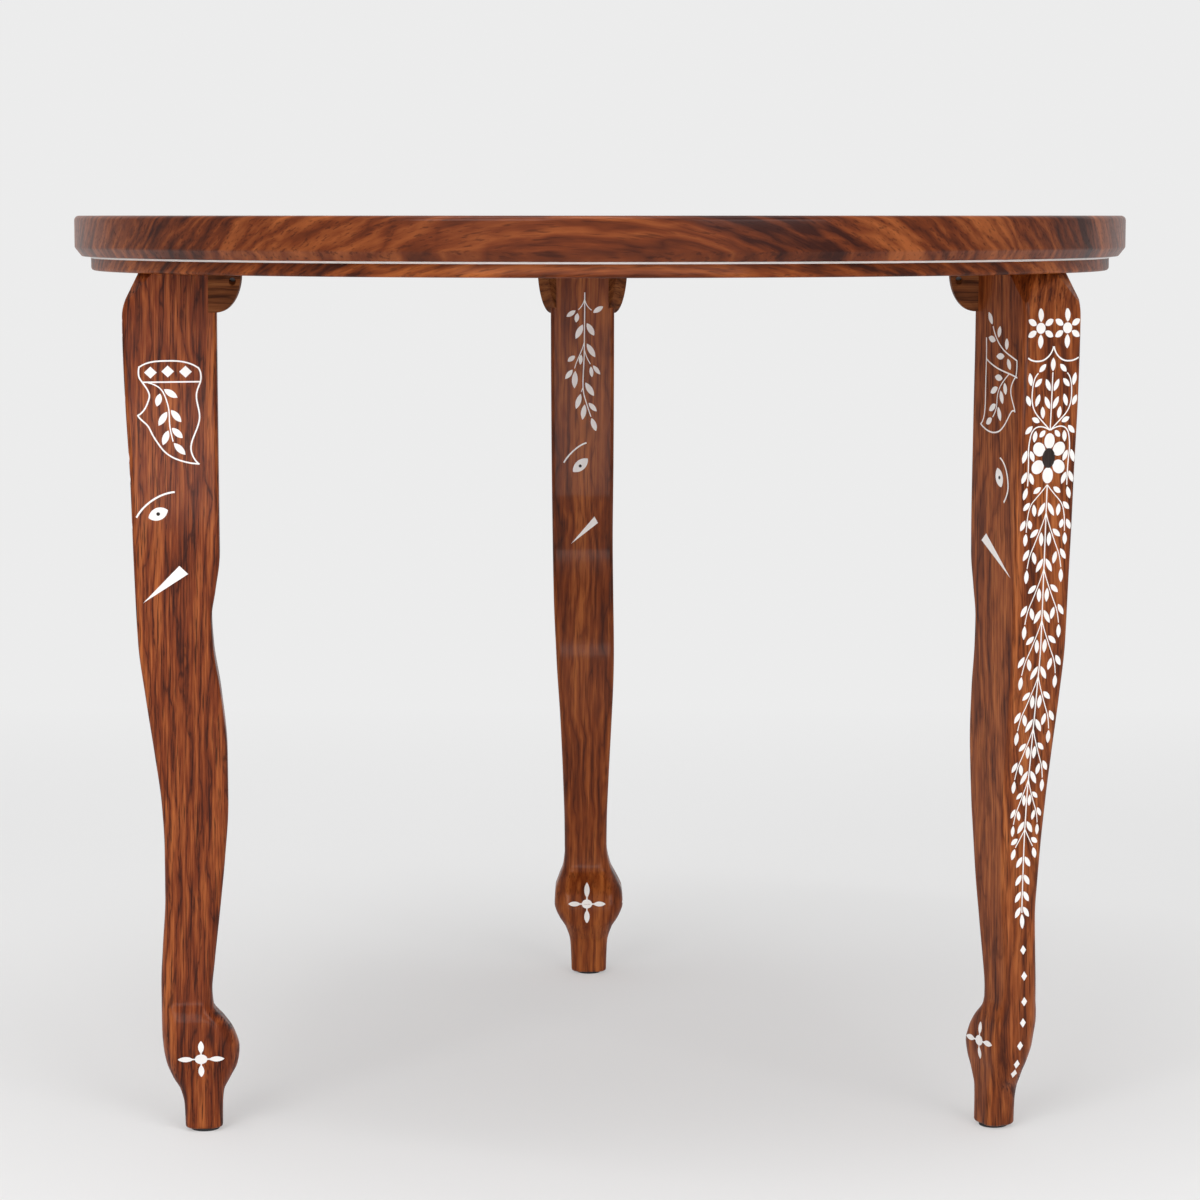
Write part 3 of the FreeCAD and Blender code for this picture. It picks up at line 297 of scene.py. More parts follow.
def rosewood(name, dark, middle, light, along, seed, pith, turn, gloss=0.42, pores=0.7, veins=0.5,
             coat=0.18, figure=1.5, streaks=0.80):
    """Streaked red-brown wood: wavy rings with dark veins, long stains, fine streaks and pore lines.

    The tone is a sum: the distance from the nearest ring, a slow stain and a fast streak, each by its
    share. What the streaks don't take of theirs goes to the stains, so the mean tone stays the same.
    """
    n = Nodes(name)

    def grain(cross_mm, long_mm, slow=6.0):
        """Scale with fine steps across the figure, slow ones into the board and long ones along it."""
        if along == "z":
            return (1 / (cross_mm * MM), 1 / (cross_mm * slow * MM), 1 / (long_mm * MM))
        return (1 / (long_mm * MM), 1 / (cross_mm * MM), 1 / (cross_mm * slow * MM))

    def figure_noise(scale, detail, roughness, offset):
        return n.noise(n.place(scale, pith, turn), detail, roughness, seed + offset)

    where = n.add("ShaderNodeSeparateXYZ")
    n.link(n.place((1, 1, 1), pith, turn), where.inputs[0])
    across = where.outputs[0 if along == "z" else 1]
    wander = figure_noise(grain(24, 90, 2.0), 3.0, 0.55, 0.0)
    ring_at = n.math("ADD", n.math("MULTIPLY", across, 1 / (RING_WIDTH * MM)),
                     n.math("MULTIPLY", wander, RING_WANDER))
    rings = n.math("PINGPONG", ring_at, 0.5)
    stain = figure_noise(grain(6 * figure, 100 * figure), 3.0, 0.55, 1.7)
    streak = figure_noise(grain(figure, 32 * figure), 4.0, 0.66, 3.1)
    stain_share = STAIN_AND_STREAK_SHARE - streaks
    tone = n.math("ADD", n.math("MULTIPLY", rings, RING_SHARE),
                  n.math("ADD", n.math("MULTIPLY", stain, stain_share), n.math("MULTIPLY", streak, streaks)))
    colour = n.ramp(n.remap(tone, 0.60, 1.0, 0.0, 1.0), [(0.0, dark), (0.46, middle), (1.0, light)])
    dots = figure_noise(grain(2.2, 4.5, 2.0), 2.0, 0.5, 7.9)
    vein = n.math("MULTIPLY", n.remap(rings, 0.02, 0.10, veins, 0.0), n.remap(dots, 0.38, 0.58, 0.25, 1.0))
    pore = figure_noise(grain(0.8, 22, 3.0), 2.0, 0.55, 5.3)
    pore_mask = n.math("MAXIMUM", n.remap(pore, 0.55, 0.66, 0.0, pores), vein)
    colour = n.cover(pore_mask, colour, tuple(c * 0.5 for c in dark))
    n.link(colour, n.shader.inputs["Base Color"])
    n.link(n.math("ADD", n.math("MULTIPLY", pore_mask, 0.22), gloss), n.shader.inputs["Roughness"])
    n.shader.inputs["Specular IOR Level"].default_value = 0.1
    n.shader.inputs["Coat Weight"].default_value = coat
    n.shader.inputs["Coat Roughness"].default_value = 0.12
    n.bump(n.math("SUBTRACT", n.math("MULTIPLY", streak, 0.35), pore_mask), 0.28, 0.12)
    return n.material


def bone(name, shade, light):
    """Off-white inlay with faint cloudy grain and a polished face."""
    n = Nodes(name)
    cloud = n.noise(n.place((220, 220, 90)), 3.0, 0.6, 2.0)
    tint = n.ramp(cloud, [(0.3, shade), (0.7, light)])
    n.link(tint, n.shader.inputs["Base Color"])
    n.link(n.remap(cloud, 0.3, 0.7, 0.34, 0.26), n.shader.inputs["Roughness"])
    return n.material


def ebony(name):
    """Near-black wood with fine upright lines and a dull face."""
    n = Nodes(name)
    line = n.noise(n.place((900, 900, 120)), 3.0, 0.6, 4.0)
    tint = n.ramp(line, [(0.35, (0.012, 0.007, 0.006)), (0.7, (0.045, 0.030, 0.025))])
    n.link(tint, n.shader.inputs["Base Color"])
    n.link(n.remap(line, 0.3, 0.7, 0.42, 0.56), n.shader.inputs["Roughness"])
    n.shader.inputs["Specular IOR Level"].default_value = 0.25
    return n.material


def metal(name, tint, roughness):
    """Turned metal with fine level rings."""
    n = Nodes(name)
    turned = n.noise(n.place((80, 80, 2600)), 2.0, 0.5, 6.0)
    shade = n.ramp(turned, [(0.3, tuple(c * 0.8 for c in tint)), (0.7, tint)])
    n.link(shade, n.shader.inputs["Base Color"])
    n.link(n.remap(turned, 0.3, 0.7, roughness, roughness + 0.14), n.shader.inputs["Roughness"])
    n.shader.inputs["Metallic"].default_value = 1.0
    return n.material


def rubber(name):
    """Black rubber with a fine grit."""
    n = Nodes(name)
    grit = n.noise(n.place((1800, 1800, 1800)), 3.0, 0.6, 8.0)
    tint = n.ramp(grit, [(0.3, (0.010, 0.010, 0.011)), (0.7, (0.022, 0.022, 0.024))])
    n.link(tint, n.shader.inputs["Base Color"])
    n.link(n.remap(grit, 0.3, 0.7, 0.62, 0.8), n.shader.inputs["Roughness"])
    n.bump(grit, 0.2, 0.1)
    return n.material


def tile_wood(name, dark, light, seed):
    """Veneer tiles: each square has its own tone and its own place in the grain."""
    n = Nodes(name)
    cell = n.add("ShaderNodeVectorMath", operation="FLOOR")
    n.link(n.place((1 / (SQUARE * MM), 1 / (SQUARE * MM), 0.0)), cell.inputs[0])
    lot = n.add("ShaderNodeTexWhiteNoise", noise_dimensions="3D")
    n.link(cell.outputs[0], lot.inputs["Vector"])
    spread = n.add("ShaderNodeVectorMath", operation="MULTIPLY_ADD")
    n.link(lot.outputs["Color"], spread.inputs[0])
    spread.inputs[1].default_value = (40, 40, 40)
    n.link(n.place((1 / (26 * MM), 1 / (1.4 * MM), 1 / (2 * MM))), spread.inputs[2])
    grain = n.noise(spread.outputs[0], 4.0, 0.6, seed)
    tone = n.math("ADD", n.math("MULTIPLY", grain, 0.8), n.math("MULTIPLY", lot.outputs["Value"], 0.24))
    n.link(n.ramp(tone, [(0.3, dark), (0.75, light)]), n.shader.inputs["Base Color"])
    n.link(n.remap(grain, 0.3, 0.7, 0.42, 0.32), n.shader.inputs["Roughness"])
    n.shader.inputs["Specular IOR Level"].default_value = 0.2
    n.shader.inputs["Coat Weight"].default_value = 0.15
    n.shader.inputs["Coat Roughness"].default_value = 0.22
    n.bump(grain, 0.12, 0.08)
    return n.material


WOOD = {
    "top": rosewood(
        "top_rosewood", (0.036, 0.006, 0.002), (0.140, 0.028, 0.006), (0.310, 0.082, 0.020), "x",
        seed=1.0, pith=(0.0, 0.03, 0.62), turn=(38.0, 4.0, 0.0), pores=0.5, veins=0.1, coat=0.2,
        figure=3.4, streaks=0.50),
    "sub": rosewood(
        "sub_top_rosewood", (0.045, 0.008, 0.002), (0.180, 0.037, 0.007), (0.380, 0.102, 0.022), "x",
        seed=5.0, pith=(0.0, -0.10, 0.60), turn=(52.0, -3.0, 0.0), pores=0.5, veins=0.1, coat=0.1,
        figure=2.6, streaks=0.60),
    "left": rosewood(
        "left_leg_rosewood", (0.046, 0.007, 0.002), (0.180, 0.032, 0.006), (0.390, 0.104, 0.024), "z",
        seed=3.0, pith=(-0.30, -0.22, 0.0), turn=(0.0, 1.2, 0.0), pores=0.85, veins=0.7, figure=1.1),
    "right": rosewood(
        "right_leg_rosewood", (0.060, 0.011, 0.003), (0.210, 0.046, 0.009), (0.410, 0.120, 0.030), "z",
        seed=11.0, pith=(0.17, -0.05, 0.0), turn=(0.0, -1.0, -18.0), veins=0.4, figure=1.2),
    "back": rosewood(
        "back_leg_rosewood", (0.052, 0.009, 0.002), (0.195, 0.039, 0.007), (0.400, 0.112, 0.024), "z",
        seed=27.0, pith=(0.05, 0.36, 0.0), turn=(0.0, 0.8, 0.0), pores=0.5, veins=0.3, figure=3.0,
        streaks=0.65),
    "bracket": rosewood(
        "bracket_wood", (0.060, 0.016, 0.005), (0.160, 0.047, 0.013), (0.250, 0.085, 0.026), "x",
        seed=19.0, pith=(0.0, 0.0, 0.4), turn=(60.0, 0.0, 0.0), gloss=0.55, coat=0.0),
    "frame": rosewood(
        "board_frame_wood", (0.025, 0.007, 0.004), (0.075, 0.020, 0.010), (0.120, 0.038, 0.018), "x",
        seed=8.0, pith=(0.0, 0.0, 0.5), turn=(30.0, 0.0, 0.0)),
}
BONE = bone("white_inlay", (0.86, 0.82, 0.79), (0.94, 0.92, 0.90))
STRINGING = bone("white_stringing", (0.95, 0.90, 0.86), (0.99, 0.96, 0.93))
EBONY = ebony("ebony")
STEEL = metal("steel", (0.25, 0.25, 0.26), 0.45)
BRASS = metal("brass", (0.72, 0.50, 0.20), 0.26)
RUBBER = rubber("glide_rubber")
DARK_TILE = tile_wood("dark_squares", (0.040, 0.011, 0.006), (0.130, 0.040, 0.018), 2.0)
LIGHT_TILE = tile_wood("light_squares", (0.42, 0.27, 0.13), (0.66, 0.47, 0.27), 7.0)


# ---- legs -------------------------------------------------------------------------
ROW_STEP = 2.0
FLAT_STEPS = 6
CHAMFER_STEPS = 2
CORNER_SHARE = 0.45
CORNER_STEPS = 4
FOOT_STEPS = 5
LEG_CREASE = 26.0
LEG_EDGE = 0.7


class LegSurface:
    """The smooth leg: s runs forward and t to the forehead's own right, for arrays of heights."""

    def __init__(self, leg):
        self.leg = leg
        self.turn = math.radians(leg["facing"])
        place = math.radians(leg["place"])
        radius = FOOT_CIRCLE + leg["out"]
        self.centre = np.array([radius * math.cos(place), radius * math.sin(place)])
        self.forehead = smooth_curve(TRUNK_FRONT, LEG_TOP_Z)

    def foot_inset(self, z):
        """Quarter-round at the foot's lower edge."""
        left = np.clip(FOOT_EDGE_ROUND - (z - LEG_BOTTOM_Z), 0, FOOT_EDGE_ROUND)
        return FOOT_EDGE_ROUND - np.sqrt(FOOT_EDGE_ROUND ** 2 - left ** 2)

    def front(self, z):
        """The smaller of the trunk's forward edge and the forehead's bevel, eased where they meet."""
        trunk = smooth_curve(TRUNK_FRONT, z) - self.foot_inset(z)
        bevel = self.forehead - (z - (LEG_TOP_Z - FOREHEAD_DROP)) * FOREHEAD_RUN / FOREHEAD_DROP
        share = np.clip(0.5 + 0.5 * (bevel - trunk) / FOREHEAD_EASE, 0, 1)
        return bevel * (1 - share) + trunk * share - FOREHEAD_EASE * share * (1 - share)

    def rear(self, z):
        """How far the trunk reaches back from the foot's middle."""
        return smooth_curve(TRUNK_REAR, z) - self.foot_inset(z)

    def half(self, z):
        """Half the trunk's width."""
        return smooth_curve(self.leg["half_width"], z) - self.foot_inset(z)

    def shift(self, z):
        """How far the trunk's middle has swung to the forehead's own right."""
        return smooth_curve(self.leg["shift"], z)

    def out(self, s, t, z):
        """Leg coordinates to the table's, in millimetres."""
        c, k = math.cos(self.turn), math.sin(self.turn)
        return np.stack([self.centre[0] + s * c - t * k, self.centre[1] + s * k + t * c, z], axis=-1)

    def into(self, points):
        """The table's coordinates to the leg's."""
        c, k = math.cos(self.turn), math.sin(self.turn)
        dx, dy = points[:, 0] - self.centre[0], points[:, 1] - self.centre[1]
        return dx * c + dy * k, -dx * k + dy * c, points[:, 2]

    def corners(self, z):
        """The chamfered section's eight corners, counter-clockwise seen from above."""
        f, r, h, c = self.front(z), self.rear(z), self.half(z), smooth_curve(CHAMFER, z)
        s = np.stack([f, f, f - c, -r + c, -r, -r, -r + c, f - c], axis=-1)
        t = np.stack([-h + c, h - c, h, h, h - c, -h + c, -h, -h], axis=-1)
        return s, t + self.shift(z)[:, None]

    def rings(self, z):
        """Every section as one closed ring: straight runs, with each corner eased by a quadratic curve."""
        s, t = self.corners(z)
        ease = CORNER_SHARE * math.sqrt(2) * smooth_curve(CHAMFER, z)
        ring_s, ring_t = [], []
        for i in range(8):
            j, k = (i + 1) % 8, (i - 1) % 8
            steps = FLAT_STEPS if i % 2 == 0 else CHAMFER_STEPS
            before = self.toward(s, t, i, k, ease)
            after = self.toward(s, t, i, j, ease)
            end = self.toward(s, t, j, i, ease)
            for step in range(CORNER_STEPS):
                u = step / CORNER_STEPS
                first, middle, last = (1 - u) ** 2, 2 * u * (1 - u), u * u
                ring_s.append(first * before[0] + middle * s[:, i] + last * after[0])
                ring_t.append(first * before[1] + middle * t[:, i] + last * after[1])
            for step in range(steps):
                u = step / steps
                ring_s.append(after[0] + u * (end[0] - after[0]))
                ring_t.append(after[1] + u * (end[1] - after[1]))
        return np.stack(ring_s, axis=-1), np.stack(ring_t, axis=-1)

    @staticmethod
    def toward(s, t, i, j, distance):
        """The points at a distance from corner i on the straight line to corner j."""
        length = np.hypot(s[:, j] - s[:, i], t[:, j] - t[:, i])
        share = distance / length
        return s[:, i] + share * (s[:, j] - s[:, i]), t[:, i] + share * (t[:, j] - t[:, i])


def facet_planes(surface):
    """Planes that cut the forehead's two upper corners: a point and an outward normal."""
    z = np.array([LEG_TOP_Z])
    s, h, shift = surface.forehead, surface.half(z)[0], surface.shift(z)[0]
    planes = []
    for side in (1, -1):
        t = shift + side * h
        low = np.array([s, t, LEG_TOP_Z - FACET_DROP])
        back = np.array([s - FACET_ON_SIDE, t, LEG_TOP_Z])
        inner = np.array([s, t - side * FACET_ON_FRONT, LEG_TOP_Z - FACET_DROP + FACET_FRONT_RISE])
        normal = np.cross(back - low, inner - low)
        planes.append((low, normal if normal[0] > 0 else -normal))
    return planes


def cut_plane(bm, surface, point, normal):
    """Cuts away what lies beyond a plane given in leg coordinates, and closes the cut."""
    where = surface.out(*[np.array([x]) for x in point])[0] * MM
    tip = surface.out(*[np.array([x]) for x in point + normal])[0] * MM
    everything = bm.verts[:] + bm.edges[:] + bm.faces[:]
    outward = Vector(tip - where).normalized()
    cut = bmesh.ops.bisect_plane(bm, geom=everything, dist=1e-7, plane_co=Vector(where), plane_no=outward,
                                 clear_outer=True)
    rim = [e for e in cut["geom_cut"] if isinstance(e, bmesh.types.BMEdge)]
    bmesh.ops.edgenet_fill(bm, edges=rim)


def make_leg(name, leg):
    """Rings stacked every 2 mm, closer at the foot's edge, capped, with the head's facets cut."""
    surface = LegSurface(leg)
    eased = LEG_BOTTOM_Z + FOOT_EDGE_ROUND * (1 - np.cos(np.linspace(0, math.pi / 2, FOOT_STEPS)))
    rows = np.arange(LEG_BOTTOM_Z + FOOT_EDGE_ROUND + 1, LEG_TOP_Z, ROW_STEP)
    z = np.concatenate([eased, rows, [LEG_TOP_Z]])
    s, t = surface.rings(z)
    points = surface.out(s, t, np.repeat(z[:, None], s.shape[1], axis=1)).reshape(-1, 3)
    columns = s.shape[1]
    faces = tube_faces(len(z), columns)
    faces.append(list(range(columns))[::-1])
    faces.append([(len(z) - 1) * columns + c for c in range(columns)])
    piece = new_piece("%s_leg_carved" % name, points, faces)
    bm = bmesh.new()
    bm.from_mesh(piece.data)
    for point, normal in facet_planes(surface):
        cut_plane(bm, surface, point, normal)
    bmesh.ops.recalc_face_normals(bm, faces=bm.faces)
    bm.to_mesh(piece.data)
    bm.free()
    sharpen(piece, LEG_CREASE)
    soften_edges(piece, LEG_EDGE, LEG_CREASE)
    finish_piece(piece, "%s_leg_rosewood" % name, WOOD[name], "%s_leg" % name)
    return surface


# ---- inlay laid on the smooth legs --------------------------------------------------
PROUD = 0.04
INLAY_THICK = 0.7
SLICE_STEP = 3.0
OUTWARD = 0.6
SKIN_GAP = 0.5
# Each side's axis in leg coordinates, 0 for s and 1 for t, and its direction.
SIDES = {
    "front": (0, 1.0),
    "rear": (0, -1.0),
    "right": (1, 1.0),
    "left": (1, -1.0),
}


def lay_on(surface, side, s, t, z):
    """The same points set on the smooth surface of one side: at its edge, its rear or its half width."""
    if side == "front":
        return surface.front(z) + PROUD, t
    if side == "rear":
        return -surface.rear(z) - PROUD, t
    sign = SIDES[side][1]
    return s, surface.shift(z) + sign * (surface.half(z) + PROUD)


def side_gap(surface, side, s, t, z):
    """How far points stand from the smooth surface of one side."""
    on_s, on_t = lay_on(surface, side, s, t, z)
    return np.hypot(on_s - s, on_t - t)


def outer_faces(bm, surface, side_names):
    """Maps each face that lies on the outside of a named side to that side's name."""
    c, k = math.cos(surface.turn), math.sin(surface.turn)
    axes = {0: Vector((c, k, 0)), 1: Vector((-k, c, 0))}
    normals = {side: axes[SIDES[side][0]] * SIDES[side][1] for side in side_names}
    middles = np.array([face.calc_center_median() for face in bm.faces]) / MM
    s, t, z = surface.into(middles)
    gaps = {side: side_gap(surface, side, s, t, z) for side in side_names}
    found = {}
    for number, face in enumerate(bm.faces):
        for side in side_names:
            if face.normal.dot(normals[side]) > OUTWARD and gaps[side][number] < SKIN_GAP:
                found[face] = side
    return found


def conform_inlay(node, name, surface, side_names, slot, material):
    """Keeps the inlay's outer skin, slices it level by level so that it can bend, and lays it on."""
    piece = merged_copy(node, name)
    bm = bmesh.new()
    bm.from_mesh(piece.data)
    skin = outer_faces(bm, surface, side_names)
    bmesh.ops.delete(bm, geom=[face for face in bm.faces if face not in skin], context="FACES")
    heights = [v.co.z for v in bm.verts]
    for level in np.arange(min(heights) + SLICE_STEP * MM, max(heights), SLICE_STEP * MM):
        bmesh.ops.bisect_plane(bm, geom=bm.verts[:] + bm.edges[:] + bm.faces[:], dist=1e-8,
                               plane_co=(0, 0, level), plane_no=(0, 0, 1))
    bm.verts.index_update()
    skin = outer_faces(bm, surface, side_names)
    side_of = {v.index: side for face, side in skin.items() for v in face.verts}
    s, t, z = surface.into(np.array([v.co for v in bm.verts]) / MM)
    for side in side_names:
        mine = np.array([side_of.get(i) == side for i in range(len(z))])
        s[mine], t[mine] = lay_on(surface, side, s[mine], t[mine], z[mine])
    for v, co in zip(bm.verts, surface.out(s, t, z) * MM):
        v.co = co
    for edge in bm.edges:
        edge.smooth = not edge.is_boundary
    for face in bm.faces:
        face.smooth = True
    bm.to_mesh(piece.data)
    bm.free()
    thick = piece.modifiers.new("depth", "SOLIDIFY")
    thick.thickness = INLAY_THICK * MM
    thick.offset = -1.0
    return finish_piece(piece, slot, material, node)


# ---- top --------------------------------------------------------------------------
ROUND_STEPS = 512
QUARTER_STEPS = 6
INLAY_STANDS = 0.06
STRING_STANDS = 0.3
PIN_HOLE = 0.001
TILE_EASE = 0.12
DISC_CREASE = 28.0
TOP_EDGE = 0.5
STRING_CREASE = 60.0
BRACKET_CREASE = 30.0
BRACKET_EDGE = 0.4
BRACKET_EDGE_CREASE = 35.0


def circle(radius, height):
    """Points round the vertical axis at a height, the radius being one number or one for each angle."""
    angle = np.linspace(0, 2 * math.pi, ROUND_STEPS, endpoint=False)
    return np.stack([radius * np.cos(angle), radius * np.sin(angle), height + 0 * angle], axis=-1)


def lathe(name, profile):
    """A closed profile of (radius, height) carried once round the vertical axis."""
    radius, height = np.array(profile).T
    points = circle(radius[:, None], height[:, None])
    return new_piece(name, points.reshape(-1, 3), tube_faces(len(profile), ROUND_STEPS, True))


def quarter(centre_r, centre_z, radius, start, end):
    """Points of a quarter circle, angles in degrees."""
    a = np.radians(np.linspace(start, end, QUARTER_STEPS + 1))
    return list(zip(centre_r + radius * np.cos(a), centre_z + radius * np.sin(a)))


def make_table_top():
    """The disc: a turned ring, and a flat face with the board's square left open.

    The square's edge lies at half its width over the larger of the angle's cosine and sine.
    """
    z, r = TABLE_HEIGHT - INLAY_STANDS, TOP_RADIUS
    profile = [(r - TOP_BEVEL_RUN, TOP_UNDER_Z), (r, TOP_UNDER_Z + TOP_BEVEL_RISE)]
    profile += quarter(r - TOP_EDGE_ROUND, z - TOP_EDGE_ROUND, TOP_EDGE_ROUND, 0, 90)
    rings = [circle(radius, height) for radius, height in profile]
    angle = np.linspace(0, 2 * math.pi, ROUND_STEPS, endpoint=False)
    square = BED_HALF / np.maximum(np.abs(np.cos(angle)), np.abs(np.sin(angle)))
    rings += [circle(square, z), circle(square, BED_Z)]
    faces = tube_faces(len(rings), ROUND_STEPS)
    faces.append([(len(rings) - 1) * ROUND_STEPS + c for c in range(ROUND_STEPS)])
    faces.append(list(range(ROUND_STEPS))[::-1])
    piece = new_piece("top_disc", np.concatenate(rings), faces)
    sharpen(piece, DISC_CREASE)
    soften_edges(piece, TOP_EDGE, DISC_CREASE)
    finish_piece(piece, "top_rosewood", WOOD["top"], "table_top")


def make_sub_top():
    """The thinner disc with its lower edge rounded, and the string let into its upper edge."""
    r, low, high = SUB_RADIUS, LEG_TOP_Z, TOP_UNDER_Z
    inner = r - STRING_DEPTH
    profile = [(PIN_HOLE, low)] + quarter(r - SUB_EDGE_ROUND, low + SUB_EDGE_ROUND, SUB_EDGE_ROUND, -90, 0)
    profile += [(r, STRING_Z), (inner, STRING_Z), (inner, high), (PIN_HOLE, high)]
    disc = lathe("sub_top_disc", profile)
    sharpen(disc, DISC_CREASE)
    finish_piece(disc, "sub_top_rosewood", WOOD["sub"], "sub_top")
    edge = r + STRING_STANDS
    string = lathe("edge_stringing_ring", [(inner, STRING_Z), (edge, STRING_Z), (edge, high), (inner, high)])
    sharpen(string, STRING_CREASE)
    finish_piece(string, "white_stringing", STRINGING, "edge_stringing")


def make_tiles(name, dark, slot, material, node):
    """Square tiles with eased upper edges, so that the joints between them show as fine lines.

    One tile is three outlines, at the bed, just under the face and, drawn in, at the face. It is
    repeated at every second square of the board.
    """
    column, row = np.meshgrid(np.arange(SQUARES_A_SIDE), np.arange(SQUARES_A_SIDE))
    mine = ((row + column) % 2 == 0) == dark
    near_corner = np.stack([column[mine] * SQUARE - BOARD_HALF, row[mine] * SQUARE - BOARD_HALF,
                            np.zeros(mine.sum())], axis=-1)
    low = np.array([0.0, 0.0, TILE_EASE])
    high = SQUARE - low
    height = np.array([BED_Z, TABLE_HEIGHT - TILE_EASE, TABLE_HEIGHT])
    corners = [(low, low, height), (high, low, height), (high, high, height), (low, high, height)]
    tile = np.array(corners).transpose(2, 0, 1).reshape(-1, 3)
    quads = np.array(tube_faces(3, 4) + [[3, 2, 1, 0], [8, 9, 10, 11]])
    starts = np.arange(len(near_corner))[:, None, None] * len(tile)
    points = (near_corner[:, None, :] + tile).reshape(-1, 3)
    piece = new_piece(name, points, (starts + quads).reshape(-1, 4).tolist())
    finish_piece(piece, slot, material, node)


def make_bracket(node, name):
    """A bracket's own solid with its edges broken."""
    piece = merged_copy(node, name)
    sharpen(piece, BRACKET_CREASE)
    soften_edges(piece, BRACKET_EDGE, BRACKET_EDGE_CREASE)
    finish_piece(piece, "bracket_wood", WOOD["bracket"], node)


def dress(node, material):
    """Puts a material on a solid that needs no finer surface."""
    mesh = nodes[node].data
    if mesh.materials:
        nodes[node].material_slots[0].material = material
    else:
        mesh.materials.append(material)


def finish_leg(label):
    """One leg with the inlay of its sides, its brackets and its hardware."""
    surface = make_leg(label, LEGS[label])
    sides = {"forehead": ["front"], "right_ear": ["right"], "left_ear": ["left"]}
    if label == "back":
        sides["inner"] = ["rear"]
    for part, side in sides.items():
        conform_inlay("%s_leg_%s_inlay" % (label, part), "%s_%s_leaves" % (label, part), surface, side,
                      "white_inlay", BONE)
    conform_inlay("%s_leg_ebony_dots" % label, "%s_dots" % label, surface,
                  [side[0] for side in sides.values()], "ebony", EBONY)
    for end in "ab":
        make_bracket("%s_leg_bracket_%s" % (label, end), "%s_bracket_%s" % (label, end))
    dress("%s_foot_glide" % label, RUBBER)
    dress("%s_leg_bolt" % label, STEEL)
    dress("%s_bracket_screws" % label, STEEL)


make_table_top()
make_sub_top()
make_tiles("light_tiles", False, "light_squares", LIGHT_TILE, "board_light_squares")
make_tiles("dark_tiles", True, "dark_squares", DARK_TILE, "board_dark_squares")
for leg_name in LEGS:
    finish_leg(leg_name)
dress("leg_bolt_inserts", BRASS)
dress("board_frame", WOOD["frame"])
dress("board_border_strings", STRINGING)
dress("rim_string", STRINGING)
dress("top_blossom_centres", EBONY)
for edge_name in ("back", "left", "front", "right"):
    dress("top_spray_inlay_%s" % edge_name, BONE)


# ---- floor, light and camera ----------------------------------------------------------
BACKDROP_GREY = 0.84
NEAR_GLOW = 0.42
GLOW_BEHIND = (0.3, 1.6)
GLOW_BEFORE = (-1.1, -0.35)
ROOM_HALF_WIDTH = 6.0
FLOOR_FRONT = -6.0
WALL_AT = 5.2
WALL_TOP = 7.0
SWEEP_RADIUS = 1.6
SWEEP_STEPS = 24
EYE = (0.0, -2.135, 0.553)
EYE_TURNED_DOWN = 6.567
LENS_MM = 100.2
# Each lamp's place, what it is aimed at, its width and height, and its watts.
LAMPS = {
    "key": ((-1.2, -2.6, 2.0), (0, 0, 0.35), (1.5, 1.5), 33),
    "fill": ((1.6, -2.5, 1.6), (0, 0, 0.3), (1.5, 1.5), 23),
    "overhead": ((0.0, -0.3, 2.8), (0, 0, 0.3), (2.2, 2.2), 26),
    "strip": ((-0.25, -0.75, 2.6), (0, -0.2, 0.5), (1.3, 0.14), 6),
    "low": ((0.0, -2.8, 0.22), (0, 0, 0.45), (3.2, 0.3), 10),
}
SKY_LIGHT = 0.45


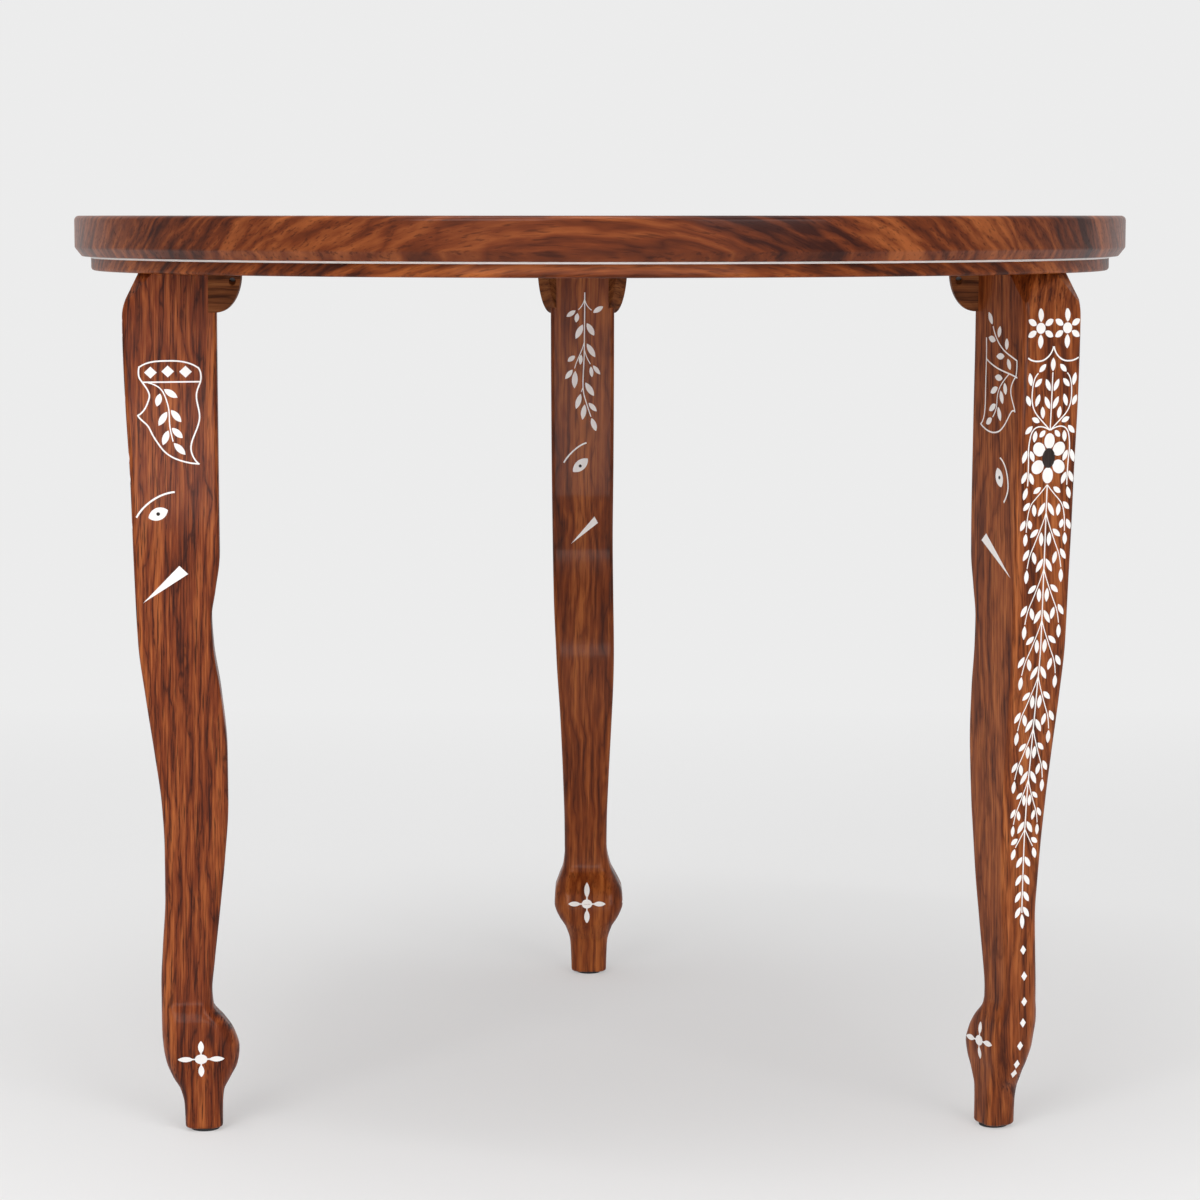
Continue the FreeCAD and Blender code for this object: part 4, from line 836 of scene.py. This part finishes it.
def studio_paint():
    """Pale paint that keeps shadows near the table; farther back it glows evenly for rays that only look."""
    n = Nodes("studio_paint")
    n.shader.inputs["Base Color"].default_value = (0.86, 0.86, 0.86, 1)
    n.shader.inputs["Roughness"].default_value = 0.9
    n.shader.inputs["Specular IOR Level"].default_value = 0.1
    glow = n.add("ShaderNodeEmission")
    glow.inputs["Color"].default_value = (BACKDROP_GREY, BACKDROP_GREY, BACKDROP_GREY, 1)
    ray = n.add("ShaderNodeLightPath")
    looking = n.math("MAXIMUM", ray.outputs["Is Camera Ray"],
                     n.math("MAXIMUM", ray.outputs["Is Glossy Ray"], ray.outputs["Is Transmission Ray"]))
    where = n.add("ShaderNodeSeparateXYZ")
    n.link(n.add("ShaderNodeTexCoord").outputs["Object"], where.inputs[0])
    depth = n.math("MAXIMUM", n.remap(where.outputs[1], *GLOW_BEHIND, NEAR_GLOW, 1.0),
                   n.remap(where.outputs[1], *GLOW_BEFORE, 1.0, NEAR_GLOW))
    blend = n.add("ShaderNodeMixShader")
    n.link(n.math("MULTIPLY", looking, depth), blend.inputs[0])
    n.link(n.shader.outputs[0], blend.inputs[1])
    n.link(glow.outputs[0], blend.inputs[2])
    n.link(blend.outputs[0], n.tree.nodes["Material Output"].inputs["Surface"])
    return n.material


def make_room():
    """A floor that curves up into a backdrop by a quarter circle, one smooth sheet."""
    a = np.linspace(0, math.pi / 2, SWEEP_STEPS)
    y = np.concatenate([[FLOOR_FRONT], WALL_AT - SWEEP_RADIUS + SWEEP_RADIUS * np.sin(a), [WALL_AT]])
    z = np.concatenate([[0.0], SWEEP_RADIUS - SWEEP_RADIUS * np.cos(a), [WALL_TOP]])
    x = np.tile([-ROOM_HALF_WIDTH, ROOM_HALF_WIDTH], len(y))
    points = np.stack([x, np.repeat(y, 2), np.repeat(z, 2)], axis=-1) / MM
    faces = [[2 * i, 2 * i + 1, 2 * i + 3, 2 * i + 2] for i in range(len(y) - 1)]
    room = new_piece("studio_sweep", points, faces)
    room.data.shade_smooth()
    room.data.materials.append(studio_paint())


def softbox(name, place, aim, size, watts):
    """A rectangular lamp, in metres, turned to face what it is aimed at."""
    data = bpy.data.lights.new(name, "AREA")
    data.shape = "RECTANGLE"
    data.size, data.size_y = size
    data.energy = watts
    lamp = bpy.data.objects.new(name, data)
    bpy.context.scene.collection.objects.link(lamp)
    lamp.location = place
    lamp.rotation_euler = (Vector(aim) - Vector(place)).to_track_quat("-Z", "Y").to_euler()


def make_camera():
    """The eye is level with the table's top, 2.1 m away, and looks slightly down."""
    data = bpy.data.cameras.new("camera")
    data.lens = LENS_MM
    data.sensor_width = 36.0
    camera = bpy.data.objects.new("camera", data)
    bpy.context.scene.collection.objects.link(camera)
    camera.location = EYE
    camera.rotation_euler = (math.radians(90 - EYE_TURNED_DOWN), 0, 0)
    bpy.context.scene.camera = camera


make_room()
for lamp_name, settings in LAMPS.items():
    softbox(lamp_name, *settings)
make_camera()

world = bpy.data.worlds.new("studio")
bpy.context.scene.world = world
world.use_nodes = True
sky = world.node_tree.nodes["Background"]
sky.inputs["Color"].default_value = (1, 1, 1, 1)
sky.inputs["Strength"].default_value = SKY_LIGHT
bpy.context.scene.view_settings.view_transform = "Standard"
